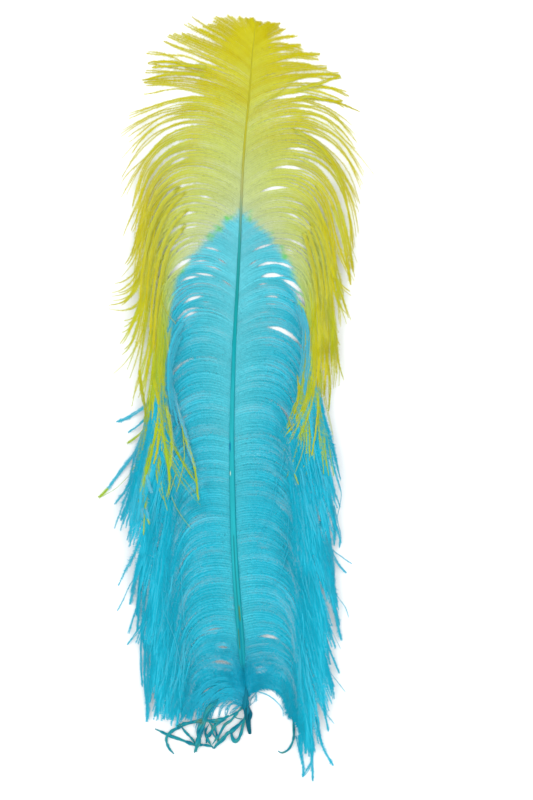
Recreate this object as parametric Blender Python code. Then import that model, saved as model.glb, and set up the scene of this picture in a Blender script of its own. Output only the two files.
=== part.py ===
"""An ostrich plume, lying flat with the grooved side of its shaft up.

Metres, +Z up, +Y towards the tip, z = 0 the surface that it lies on. The plume grew as one piece, so it is
one closed solid: the shaft with its quill, the locks of barbs that leave both sides of the shaft, arch over
and hang down beside it, and the few matted strands round the quill.

Distances along the shaft are measured from the tip of the shaft towards the quill.
"""

import math

import bmesh
import bpy

# The whole plume
TIP_ACROSS = 0.0150  # the shaft's tip, right of the middle of the plume
TIP_ALONG = 0.3450  # the shaft's tip, above the middle of the plume
SHAFT_LENGTH = 0.652  # tip of the shaft to the cut end of the quill

# The shaft: distance from the tip, sideways bow, thickness
SHAFT = (
    (0.000, 0.0000, 0.0010),
    (0.028, -0.0030, 0.0014),
    (0.067, -0.0060, 0.0018),
    (0.112, -0.0103, 0.0022),
    (0.163, -0.0131, 0.0026),
    (0.222, -0.0156, 0.0031),
    (0.287, -0.0192, 0.0038),
    (0.364, -0.0216, 0.0048),
    (0.419, -0.0214, 0.0056),
    (0.492, -0.0190, 0.0066),
    (0.566, -0.0134, 0.0074),
    (0.600, -0.0106, 0.0068),
    (0.619, -0.0088, 0.0052),
    (0.636, -0.0077, 0.0040),
    (0.648, -0.0058, 0.0034),
    (0.652, -0.0051, 0.0024),
)
SHAFT_RINGS = 18
CUT_LENGTH = 0.004  # the length in which the quill narrows to its cut end
SHAFT_SINK = 0.45  # how far the flat underside is below the shaft's axis, as a share of its thickness

# The section across the shaft, for a thickness of 1: flat below, round at the sides, grooved on top
SHAFT_SECTION = (
    (-0.30, -0.45),
    (0.30, -0.45),
    (0.50, -0.16),
    (0.50, 0.14),
    (0.27, 0.42),
    (0.09, 0.40),
    (0.00, 0.22),
    (-0.09, 0.40),
    (-0.27, 0.42),
    (-0.50, 0.14),
    (-0.50, -0.16),
)

# How barbs grow at a distance from the tip: the angle at which they leave the shaft and the angle at which
# they end, both from the direction of the tip, the length over which they bend, and their whole length
LEFT, RIGHT = -1, 1
GROWTH = {
    LEFT: (
        (0.010, 40, 44, 0.020, 0.020),
        (0.032, 42, 48, 0.053, 0.053),
        (0.051, 45, 56, 0.075, 0.075),
        (0.069, 46, 76, 0.092, 0.092),
        (0.088, 47, 100, 0.106, 0.106),
        (0.111, 48, 140, 0.127, 0.130),
        (0.129, 50, 162, 0.133, 0.150),
        (0.161, 50, 168, 0.131, 0.176),
        (0.221, 52, 172, 0.116, 0.208),
        (0.262, 54, 177, 0.103, 0.222),
        (0.299, 56, 172, 0.094, 0.222),
        (0.373, 58, 158, 0.086, 0.200),
        (0.437, 58, 157, 0.090, 0.182),
        (0.492, 56, 164, 0.102, 0.182),
        (0.548, 56, 170, 0.102, 0.166),
        (0.584, 55, 170, 0.092, 0.118),
        (0.612, 58, 172, 0.070, 0.078),
    ),
    RIGHT: (
        (0.010, 46, 50, 0.020, 0.020),
        (0.032, 46, 54, 0.044, 0.044),
        (0.051, 48, 60, 0.066, 0.066),
        (0.069, 50, 72, 0.083, 0.083),
        (0.088, 50, 96, 0.099, 0.099),
        (0.111, 50, 140, 0.124, 0.130),
        (0.129, 50, 156, 0.132, 0.152),
        (0.161, 50, 166, 0.134, 0.176),
        (0.221, 52, 173, 0.123, 0.200),
        (0.262, 54, 174, 0.109, 0.202),
        (0.299, 56, 168, 0.096, 0.198),
        (0.373, 58, 160, 0.088, 0.198),
        (0.437, 58, 161, 0.096, 0.184),
        (0.492, 56, 166, 0.104, 0.179),
        (0.548, 54, 171, 0.105, 0.168),
        (0.584, 52, 171, 0.096, 0.146),
        (0.612, 50, 171, 0.073, 0.139),
    ),
}

# Locks: bundles of barbs, matted together towards their tips. They stand closer together near the tip.
LOCKS_A_SIDE = 31
FIRST_LOCK = 0.010
LAST_LOCK = 0.612
LOCK_CROWDING = 1.25
LOCK_OVERLAP = 1.12  # a lock's greatest width over the distance to the next lock
LOCK_FLATNESS = 0.13  # a lock's thickness over its width
LOCK_STEPS = 9
FINE_STEPS = 6  # steps of working between two points of a lock
LOOSE_FROM = (0.06, 0.16)  # locks differ from their neighbours more and more over this stretch
LOOSE_TO = (0.54, 0.60)  # and less and less over this one
LOOSE_BEND = 0.10  # the spread of their bends, where they differ most
LOOSE_FLICK = 20  # the spread of the turns at their ends, in degrees
FLICK_INWARDS = 0.56  # the share of the locks whose end turns towards the shaft
TURN = (4, 10)  # the spread of the angles at which all locks end, and what being loose adds, in degrees
STRETCH = (0.04, 0.14)  # the spread of the lengths of all locks, and what being loose adds
FLICK_FROM = 0.55  # the share of a lock's length at which its end starts to turn

# A lock's width, over its greatest width, at a share of its length. Short locks stay broad.
ROOT_WIDTH = (0.85, 0.22)  # its width at the shaft, and the share of its length in which it spreads
MATTED = (0.55, 0.32, 0.75)  # how much narrower its barbs mat together, and from where to where
POINTED = (0.80, 0.60, 0.12)  # how much its end narrows, from where, and how much later on a long lock
SHORT_TO_LONG = (0.05, 0.16)  # the lengths of a short lock and of a long one

LOCK_SECTION = ((-0.5, 0.0), (0.0, -0.5), (0.5, 0.0), (0.0, 0.5))  # a diamond, flattened in use
PILE_SLOPE = 0.13  # how steeply a lock climbs over the locks that hang below it
PILE_END = 0.020  # how much further than the last lock the pile goes on below a lock
SETTLE_LENGTH = 0.045  # the length in which a lock comes down from the shaft to the surface

# Thin locks that stand away from the rest: side, distance from the tip, bend, flick of the end, stretch
STRAYS = (
    (LEFT, 0.250, 1.00, -46, 1.22),
    (RIGHT, 0.108, 1.06, 2, 1.17),
)
STRAY_WIDTH = 0.006
STRAY_END = (0.7, 0.7)  # how much its end narrows, and the share of its length from which it does

# Matted strands round the quill: routes seen from above
STRAND_THICKNESS = 0.0030
STRAND_START = 0.0010  # how much higher a strand starts than it lies
STRAND_END = 0.65  # how much its second half narrows
STRANDS = {
    "long_strand": (
        (0.0050, -0.2930),
        (-0.0075, -0.3050),
        (-0.0172, -0.3130),
        (-0.0267, -0.3177),
        (-0.0394, -0.3177),
        (-0.0537, -0.3122),
        (-0.0679, -0.3066),
        (-0.0774, -0.3029),
    ),
    "hooked_strand": (
        (0.0055, -0.2860),
        (-0.0014, -0.2884),
        (-0.0109, -0.2931),
        (-0.0236, -0.2947),
        (-0.0363, -0.2947),
        (-0.0489, -0.2971),
        (-0.0616, -0.3042),
        (-0.0671, -0.3105),
        (-0.0655, -0.3184),
        (-0.0603, -0.3247),
    ),
    "crossing_strand": (
        (-0.0141, -0.2725),
        (-0.0251, -0.2836),
        (-0.0315, -0.2947),
        (-0.0347, -0.3042),
        (-0.0370, -0.3137),
        (-0.0410, -0.3240),
    ),
    "looped_strand": (
        (0.0063, -0.2920),
        (0.0050, -0.3010),
        (0.0017, -0.3090),
        (-0.0030, -0.3142),
        (-0.0069, -0.3090),
        (-0.0045, -0.3010),
        (0.0035, -0.2938),
    ),
}

# The curled strand at the right leaves the last lock there, this many steps along it
CURL_LEAVES = 5
CURL = (
    (0.0515, -0.3000),
    (0.0497, -0.3090),
    (0.0469, -0.3169),
    (0.0421, -0.3224),
    (0.0366, -0.3240),
)

FEATHER_COLOUR = (0.03, 0.45, 0.62, 1.0)
FEATHER_ROUGHNESS = 0.7


def clear_scene():
    for thing in list(bpy.data.objects):
        bpy.data.objects.remove(thing, do_unlink=True)


def collection(name, helper=False):
    made = bpy.data.collections.new(name)
    made.hide_render = helper
    bpy.context.scene.collection.children.link(made)
    return made


def principled(name, colour, roughness):
    material = bpy.data.materials.new(name)
    material.use_nodes = True
    shader = material.node_tree.nodes["Principled BSDF"]
    shader.inputs["Base Color"].default_value = colour
    shader.inputs["Roughness"].default_value = roughness
    shader.inputs["Metallic"].default_value = 0.0
    return material


def between(rows, distance, column):
    """The value of a column at a distance from the tip, on a smooth line through the rows."""
    last = len(rows) - 1
    if distance <= rows[0][0]:
        return rows[0][column]
    if distance >= rows[last][0]:
        return rows[last][column]
    i = max(k for k in range(last) if rows[k][0] <= distance)

    def slope(k):
        low, high = max(k - 1, 0), min(k + 1, last)
        return (rows[high][column] - rows[low][column]) / (rows[high][0] - rows[low][0])

    span = rows[i + 1][0] - rows[i][0]
    t = (distance - rows[i][0]) / span
    a, b = rows[i][column], rows[i + 1][column]
    return (
        a * (1 + 2 * t) * (1 - t) ** 2
        + b * t * t * (3 - 2 * t)
        + span * slope(i) * t * (1 - t) ** 2
        - span * slope(i + 1) * t * t * (1 - t)
    )


def chance(number, salt):
    """A number from 0 to 1 that looks random but is always the same for this lock and this use."""
    value = math.sin(number * 12.9898 + salt * 78.233) * 43758.5453
    return value - math.floor(value)


def ease(value, low, high):
    t = min(max((value - low) / (high - low), 0.0), 1.0)
    return t * t * (3 - 2 * t)


def shaft_point(distance):
    """The shaft's axis at a distance from the tip. Its underside is flat on the surface."""
    return (
        TIP_ACROSS + between(SHAFT, distance, 1),
        TIP_ALONG - distance,
        SHAFT_SINK * between(SHAFT, distance, 2),
    )


def barb_line(side, root, steps, bend=1.0, turn=0.0, flick=0.0, stretch=1.0):
    """The middle line of a lock rooted at a distance from the tip, as (distance along it, x, y, drop)."""
    rows = GROWTH[side]
    leave, hang, bend_length, length = (between(rows, root, k) for k in (1, 2, 3, 4))
    bend_length *= bend
    length *= stretch
    x, y, _ = shaft_point(root)
    top = y
    line = [(0.0, x, y, 0.0)]
    step = length / (steps * FINE_STEPS)
    for i in range(steps * FINE_STEPS):
        along = (i + 0.5) * step
        bent = math.sin(math.pi / 2 * min(along / bend_length, 1.0)) ** 2
        angle = leave + (hang + turn - leave) * bent + flick * ease(along / length, FLICK_FROM, 1.0)
        x += side * math.sin(math.radians(angle)) * step
        y += math.cos(math.radians(angle)) * step
        top = max(top, y)
        if (i + 1) % FINE_STEPS == 0:
            line.append(((i + 1) * step, x, y, top - y))
    return line


def lock_width(share, length):
    """A lock's width at a share of its length, over its greatest width."""
    root_width, spread_to = ROOT_WIDTH
    matted, matted_from, matted_to = MATTED
    pointed, pointed_from, later = POINTED
    slim = ease(length, *SHORT_TO_LONG)
    grown = root_width + (1.0 - root_width) * ease(share, 0.0, spread_to)
    tapered = 1.0 - matted * slim * ease(share, matted_from, matted_to)
    return grown * tapered * (1.0 - pointed * ease(share, pointed_from + later * slim, 1.0))


def section_curve(name, outline, flatness, helpers):
    """A closed outline that a curve carries along as its section."""
    data = bpy.data.curves.new(name, "CURVE")
    data.dimensions = "2D"
    spline = data.splines.new("POLY")
    spline.points.add(len(outline) - 1)
    for point, (across, up) in zip(spline.points, outline):
        point.co = (across, up * flatness, 0.0, 1.0)
    spline.use_cyclic_u = True
    section = bpy.data.objects.new(name, data)
    section.hide_render = True
    helpers.objects.link(section)
    return section


def swept(name, points, widths, section, target):
    """A closed mesh that carries the section along the points, as wide as widths says at each."""
    data = bpy.data.curves.new(name + "_line", "CURVE")
    data.dimensions = "3D"
    data.twist_mode = "Z_UP"
    data.bevel_mode = "OBJECT"
    data.bevel_object = section
    data.use_fill_caps = True
    spline = data.splines.new("POLY")
    spline.points.add(len(points) - 1)
    for point, place, width in zip(spline.points, points, widths):
        point.co = (*place, 1.0)
        point.radius = width
    line = bpy.data.objects.new(name + "_line", data)
    target.objects.link(line)
    bpy.context.view_layer.update()
    graph = bpy.context.evaluated_depsgraph_get()
    mesh = bpy.data.meshes.new_from_object(line.evaluated_get(graph))
    mesh.name = name
    body = bmesh.new()
    body.from_mesh(mesh)
    bmesh.ops.remove_doubles(body, verts=body.verts, dist=1e-6)
    bmesh.ops.recalc_face_normals(body, faces=body.faces)
    body.to_mesh(mesh)
    body.free()
    made = bpy.data.objects.new(name, mesh)
    made.matrix_world = line.matrix_world
    target.objects.link(made)
    bpy.data.objects.remove(line, do_unlink=True)
    return made


def make_shaft(section, target):
    stations = [SHAFT_LENGTH * i / (SHAFT_RINGS - 1) for i in range(SHAFT_RINGS)]
    stations.append(SHAFT_LENGTH - CUT_LENGTH)
    stations.sort()
    points = [shaft_point(s) for s in stations]
    widths = [between(SHAFT, s, 2) for s in stations]
    return swept("feather", points, widths, section, target)


def lock_root(number):
    """How far from the tip a lock grows. Half numbers are halfway to the next lock."""
    share = max(number / (LOCKS_A_SIDE - 1), 0.0)
    return FIRST_LOCK + (LAST_LOCK - FIRST_LOCK) * share**LOCK_CROWDING


def lock_heights(root, line, widths):
    """A lock leaves the shaft at half its height, settles, and climbs over the locks that hang below it."""
    highest = PILE_SLOPE * (LAST_LOCK + PILE_END - root)
    start = shaft_point(root)[2]
    heights = []
    for (along, _, _, drop), width in zip(line, widths):
        half = 0.5 * LOCK_FLATNESS * width
        settled = start + (half - start) * ease(along, 0.0, SETTLE_LENGTH)
        piled = highest * math.tanh(PILE_SLOPE * drop / highest)
        heights.append(max(half, settled + piled))
    return heights


def lock_shape(side, number):
    """The points of a lock's middle line and its width at each."""
    root = lock_root(number)
    key = number + (100 if side == RIGHT else 0)
    loose = ease(root, *LOOSE_FROM) * (1.0 - ease(root, *LOOSE_TO))
    line = barb_line(
        side,
        root,
        LOCK_STEPS,
        bend=1 + (chance(key, 2) - 0.5) * LOOSE_BEND * loose,
        turn=(chance(key, 1) - 0.5) * (TURN[0] + TURN[1] * loose),
        flick=(chance(key, 4) - FLICK_INWARDS) * LOOSE_FLICK * loose,
        stretch=1 + (chance(key, 3) - 0.5) * (STRETCH[0] + STRETCH[1] * loose),
    )
    length = line[-1][0]
    widest = LOCK_OVERLAP * (lock_root(number + 0.5) - lock_root(number - 0.5))
    widths = [widest * lock_width(row[0] / length, length) for row in line]
    points = [(x, y, z) for (_, x, y, _), z in zip(line, lock_heights(root, line, widths))]
    return points, widths


def make_lock(side, number, section, target):
    points, widths = lock_shape(side, number)
    side_name = "left" if side == LEFT else "right"
    return swept(f"{side_name}_lock_{number:02d}", points, widths, section, target)


def make_stray(number, section, target):
    side, root, bend, flick, stretch = STRAYS[number]
    line = barb_line(side, root, LOCK_STEPS, bend=bend, flick=flick, stretch=stretch)
    length = line[-1][0]
    narrowed, narrowed_from = STRAY_END
    widths = [STRAY_WIDTH * (1.0 - narrowed * ease(row[0] / length, narrowed_from, 1.0)) for row in line]
    points = [(x, y, z) for (_, x, y, _), z in zip(line, lock_heights(root, line, widths))]
    return swept(f"stray_{number}", points, widths, section, target)


def make_strand(name, route, section, target, leaves=()):
    """A thin strand that lies on the surface, from the quill or from the points that it leaves a lock by."""
    count = len(route) - 1
    lying = 0.5 * STRAND_THICKNESS
    rise = 0.0 if leaves else STRAND_START
    points = list(leaves)
    points += [(x, y, lying + rise * (1.0 - ease(i / count, 0.0, 0.5))) for i, (x, y) in enumerate(route)]
    widths = [STRAND_THICKNESS] * len(leaves)
    widths += [STRAND_THICKNESS * (1.0 - STRAND_END * ease(i / count, 0.5, 1.0)) for i in range(count + 1)]
    return swept(name, points, widths, section, target)


def main():
    clear_scene()
    feather = collection("ostrich feather")
    helpers = collection("locks and sections", helper=True)
    shaft_section = section_curve("shaft_section", SHAFT_SECTION, 1.0, helpers)
    lock_section = section_curve("lock_section", LOCK_SECTION, LOCK_FLATNESS, helpers)
    strand_section = section_curve("strand_section", LOCK_SECTION, 1.0, helpers)

    shaft = make_shaft(shaft_section, feather)
    barbs = collection("barbs", helper=True)
    for side in (LEFT, RIGHT):
        for number in range(LOCKS_A_SIDE):
            make_lock(side, number, lock_section, barbs)
    for number in range(len(STRAYS)):
        make_stray(number, lock_section, barbs)
    for name, route in STRANDS.items():
        make_strand(name, route, strand_section, barbs)
    last_points, _ = lock_shape(RIGHT, LOCKS_A_SIDE - 1)
    leaves = last_points[CURL_LEAVES - 1 : CURL_LEAVES + 1]
    make_strand("curled_strand", CURL, strand_section, barbs, leaves=leaves)
    for lock in barbs.objects:
        lock.hide_render = True
        lock.display_type = "WIRE"

    grown = shaft.modifiers.new("barbs grow from the shaft", "BOOLEAN")
    grown.operation = "UNION"
    grown.solver = "EXACT"
    grown.operand_type = "COLLECTION"
    grown.collection = barbs
    shaft.data.materials.append(principled("feather", FEATHER_COLOUR, FEATHER_ROUGHNESS))


main()
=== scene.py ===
# %% [markdown]
# # A dyed ostrich plume
#
# An ostrich plume is one long, flexible shaft with a few hundred soft barbs down each side. Each barb is a
# thread with a fringe of barbules on both of its sides, and nothing hooks one barb to the next, so they
# arch over and droop in loose strands. This plume was dipped in two dyes: yellow from its tip, turquoise
# from its quill. It lies flat on a table, with the grooved side of its shaft up.
#
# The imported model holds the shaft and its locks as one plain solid. Its place and reach stay as they are,
# and every barb is built here, in the same space.

# %% Load the frame
import math

import bmesh
import bpy
import numpy as np
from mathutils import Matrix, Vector


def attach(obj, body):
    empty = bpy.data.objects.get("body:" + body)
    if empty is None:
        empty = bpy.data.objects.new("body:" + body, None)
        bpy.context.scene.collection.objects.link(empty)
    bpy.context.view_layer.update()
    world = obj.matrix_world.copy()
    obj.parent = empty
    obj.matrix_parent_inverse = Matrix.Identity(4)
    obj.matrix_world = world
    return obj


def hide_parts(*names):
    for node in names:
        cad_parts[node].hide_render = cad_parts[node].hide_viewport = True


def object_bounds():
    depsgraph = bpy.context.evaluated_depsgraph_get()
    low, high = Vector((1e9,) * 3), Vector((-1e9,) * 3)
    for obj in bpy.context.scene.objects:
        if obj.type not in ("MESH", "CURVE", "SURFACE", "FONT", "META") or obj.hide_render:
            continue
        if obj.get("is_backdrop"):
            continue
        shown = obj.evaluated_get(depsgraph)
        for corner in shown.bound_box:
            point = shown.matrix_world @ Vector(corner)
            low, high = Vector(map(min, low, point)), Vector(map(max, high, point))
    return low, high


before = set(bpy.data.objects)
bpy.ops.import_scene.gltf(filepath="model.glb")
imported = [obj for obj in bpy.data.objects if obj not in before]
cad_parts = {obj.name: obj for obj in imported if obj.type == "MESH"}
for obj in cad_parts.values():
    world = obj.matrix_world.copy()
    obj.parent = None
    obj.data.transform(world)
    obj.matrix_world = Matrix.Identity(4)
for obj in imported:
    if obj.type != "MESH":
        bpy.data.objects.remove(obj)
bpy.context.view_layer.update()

# %% [markdown]
# Everything below is worked out from a few rules. `ease` turns a value smoothly from 0 to 1, and
# `smooth_rows` reads a table at any distance from the tip, on a smooth line through its rows.

# %% Small helpers
LEFT, RIGHT = -1, 1


def ease(value, low, high):
    t = np.clip((value - low) / (high - low), 0.0, 1.0)
    return t * t * (3 - 2 * t)


def smooth_rows(rows, distance, column):
    table = np.asarray(rows, float)
    place, value = table[:, 0], table[:, column]
    slope = np.gradient(value, place)
    slope[1:-1] = (value[2:] - value[:-2]) / (place[2:] - place[:-2])
    at = np.clip(distance, place[0], place[-1])
    i = np.clip(np.searchsorted(place, at, side="right") - 1, 0, len(place) - 2)
    span = place[i + 1] - place[i]
    t = (at - place[i]) / span
    return (
        value[i] * (1 + 2 * t) * (1 - t) ** 2
        + value[i + 1] * t * t * (3 - 2 * t)
        + span * slope[i] * t * (1 - t) ** 2
        - span * slope[i + 1] * t * t * (1 - t)
    )


def linear(red, green, blue):
    """A colour as it looks on a screen, 0 to 255, as the linear value that a shader takes."""
    values = (((c / 255 + 0.055) / 1.055) ** 2.4 if c > 10 else c / 255 / 12.92 for c in (red, green, blue))
    return (*values, 1.0)


print("halfway", ease(0.5, 0, 1))

# %% [markdown]
# ## The shaft's line
#
# The shaft bows a little to the left and thickens from the tip to the quill. Its rows give the distance
# from the tip, the sideways bow and the thickness, in metres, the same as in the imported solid.

# %% The shaft's line
TIP_ACROSS, TIP_ALONG, SHAFT_LENGTH = 0.0150, 0.3450, 0.652
SHAFT = (
    (0.000, 0.0000, 0.0010),
    (0.028, -0.0030, 0.0014),
    (0.067, -0.0060, 0.0018),
    (0.112, -0.0103, 0.0022),
    (0.163, -0.0131, 0.0026),
    (0.222, -0.0156, 0.0031),
    (0.287, -0.0192, 0.0038),
    (0.364, -0.0216, 0.0048),
    (0.419, -0.0214, 0.0056),
    (0.492, -0.0190, 0.0066),
    (0.566, -0.0134, 0.0074),
    (0.600, -0.0106, 0.0068),
    (0.619, -0.0088, 0.0052),
    (0.636, -0.0077, 0.0040),
    (0.648, -0.0058, 0.0034),
    (0.652, -0.0051, 0.0024),
)


def shaft_place(distance):
    """x, y and height of the shaft's axis at distances from the tip."""
    across = TIP_ACROSS + smooth_rows(SHAFT, distance, 1)
    return across, TIP_ALONG - distance, 0.45 * smooth_rows(SHAFT, distance, 2)


print("shaft halfway", [round(float(v), 4) for v in shaft_place(SHAFT_LENGTH / 2)])

# %% [markdown]
# ## How the barbs grow
#
# A barb leaves the shaft steeply, flares out within a few millimetres, and then bends over slowly under its
# own weight. Each row says how barbs do this at a distance from the tip: the angle at which they leave the
# shaft, the angle that they flare out to, the angle at which they end, all from the direction of the tip,
# then the length over which they bend and their whole length.

# %% How the barbs grow
GROWTH = {
    LEFT: (
        (0.002, 15, 20, 24, 0.020, 0.008),
        (0.008, 22, 27, 30, 0.030, 0.0155),
        (0.013, 30, 42, 46, 0.040, 0.028),
        (0.020, 36, 52, 60, 0.050, 0.042),
        (0.032, 38, 56, 66, 0.060, 0.057),
        (0.041, 38, 58, 68, 0.070, 0.068),
        (0.051, 40, 62, 80, 0.095, 0.082),
        (0.061, 40, 64, 92, 0.110, 0.096),
        (0.079, 41, 64, 104, 0.115, 0.104),
        (0.098, 42, 62, 135, 0.130, 0.122),
        (0.111, 42, 60, 150, 0.133, 0.135),
        (0.128, 43, 58, 162, 0.130, 0.150),
        (0.161, 43, 55, 168, 0.122, 0.176),
        (0.221, 42, 54, 172, 0.108, 0.208),
        (0.262, 41, 55, 173, 0.098, 0.222),
        (0.299, 42, 58, 170, 0.090, 0.220),
        (0.335, 43, 66, 165, 0.084, 0.210),
        (0.373, 44, 74, 167, 0.080, 0.198),
        (0.437, 45, 80, 169, 0.078, 0.184),
        (0.492, 46, 82, 170, 0.078, 0.174),
        (0.522, 47, 81, 168, 0.078, 0.157),
        (0.548, 48, 80, 168, 0.080, 0.135),
        (0.584, 50, 74, 170, 0.080, 0.098),
        (0.612, 42, 64, 172, 0.074, 0.073),
        (0.634, 24, 68, 171, 0.058, 0.065),
    ),
    RIGHT: (
        (0.002, 15, 20, 24, 0.020, 0.005),
        (0.006, 30, 45, 52, 0.030, 0.011),
        (0.013, 38, 52, 58, 0.040, 0.024),
        (0.026, 44, 64, 72, 0.050, 0.040),
        (0.034, 46, 70, 82, 0.060, 0.050),
        (0.043, 46, 72, 84, 0.070, 0.062),
        (0.055, 46, 74, 86, 0.085, 0.075),
        (0.067, 46, 72, 88, 0.100, 0.088),
        (0.080, 46, 68, 100, 0.115, 0.098),
        (0.098, 46, 64, 132, 0.126, 0.118),
        (0.119, 46, 60, 152, 0.130, 0.138),
        (0.135, 46, 58, 160, 0.130, 0.155),
        (0.161, 45, 56, 166, 0.126, 0.176),
        (0.221, 44, 55, 175, 0.112, 0.200),
        (0.262, 43, 56, 178, 0.102, 0.202),
        (0.280, 43, 58, 171, 0.097, 0.200),
        (0.299, 43, 60, 166, 0.092, 0.198),
        (0.335, 44, 68, 168, 0.086, 0.196),
        (0.373, 45, 75, 170, 0.082, 0.192),
        (0.405, 45, 78, 165, 0.082, 0.187),
        (0.437, 46, 80, 161, 0.082, 0.180),
        (0.492, 47, 80, 167, 0.084, 0.172),
        (0.548, 48, 78, 172, 0.086, 0.165),
        (0.584, 46, 72, 173, 0.080, 0.126),
        (0.612, 26, 60, 172, 0.064, 0.070),
        (0.622, 20, 58, 170, 0.056, 0.050),
    ),
}
BARB_POINTS = 72


def grow(side, roots, bend, turn, flick, stretch):
    """The plain lines of barbs by the distances of their roots: x, y, distance along, drop below the top."""
    leave, arch, hang, bend_length, length = (
        smooth_rows(GROWTH[side], roots, k)[:, None] for k in (1, 2, 3, 4, 5)
    )
    bend_length = bend_length * bend[:, None]
    length = length * stretch[:, None]
    flare = 0.009 - 0.004 * ease(roots, 0.26, 0.38)[:, None]
    share = np.linspace(0, 1, BARB_POINTS)[None, :]
    middle = (share[:, 1:] + share[:, :-1]) / 2
    gone = middle * length
    bent = np.sin(np.pi / 2 * np.minimum(gone / bend_length, 1.0)) ** 2
    angle = arch + (hang + turn[:, None] - arch) * bent - (arch - leave) * np.exp(-gone / flare)
    angle = np.radians(angle + flick[:, None] * ease(middle, 0.55, 1.0))
    step = length / (BARB_POINTS - 1)
    x0, y0, _ = shaft_place(roots)
    x = x0[:, None] + np.pad(np.cumsum(side * np.sin(angle) * step, axis=1), ((0, 0), (1, 0)))
    y = y0[:, None] + np.pad(np.cumsum(np.cos(angle) * step, axis=1), ((0, 0), (1, 0)))
    drop = np.maximum.accumulate(y, axis=1) - y
    return x, y, share * length, drop


# %% [markdown]
# Barbs come in locks, which lie apart from each other towards their ends. The locks here are those of the
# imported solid, so the plume keeps its outline. `chance` is a number that looks random but is always the
# same for one lock.

# %% The locks
LOCKS_A_SIDE, FIRST_LOCK, LAST_LOCK, LOCK_CROWDING = 31, 0.010, 0.612, 1.25


def chance(number, salt):
    value = np.sin(number * 12.9898 + salt * 78.233) * 43758.5453
    return value - np.floor(value)


def lock_values(side, roots):
    """bend, turn, flick and stretch of the lock that each barb belongs to."""
    share = np.clip((roots - FIRST_LOCK) / (LAST_LOCK - FIRST_LOCK), 0, 1)
    place = (LOCKS_A_SIDE - 1) * share ** (1 / LOCK_CROWDING)
    low = np.floor(place)
    part = ease(place - low, 0.1, 0.9)
    loose = ease(roots, 0.06, 0.16) * (1 - 0.75 * ease(roots, 0.20, 0.30))

    def mixed(salt):
        key = low + (100 if side == RIGHT else 0)
        return chance(key, salt) * (1 - part) + chance(key + 1, salt) * part

    bend = 1 + (mixed(2) - 0.5) * 0.10 * loose
    turn = (mixed(1) - 0.5) * (3 + 7 * loose)
    flick = (mixed(4) - 0.54) * 13 * loose
    stretch = 1 + (mixed(3) - 0.5) * (0.04 + 0.14 * loose)
    return bend, turn, flick, stretch, low + np.round(part)


# %% [markdown]
# ## One vane of barbs
#
# Barbs stand about 2 mm apart, and closer at the very tip. In the yellow part two or three neighbours mat
# together into a strand towards their ends. Each strand wanders a little in its own way, and here and there
# two strands part and leave a gap. A gap is given by its place on the plume, and `gaps_of` finds the barb
# that runs there. Each of these is a small shift of the plain lines, so they are all done on arrays, for a
# whole side.

# %% Strands, gaps and ends
FIRST_BARB, LAST_BARB = 0.0015, {LEFT: 0.630, RIGHT: 0.618}

# Distance from the tip, and how far apart barbs stand there
PITCH = ((0.000, 0.0011), (0.020, 0.0014), (0.050, 0.0019), (0.100, 0.0021), (0.600, 0.0021), (0.625, 0.0012))

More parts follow.
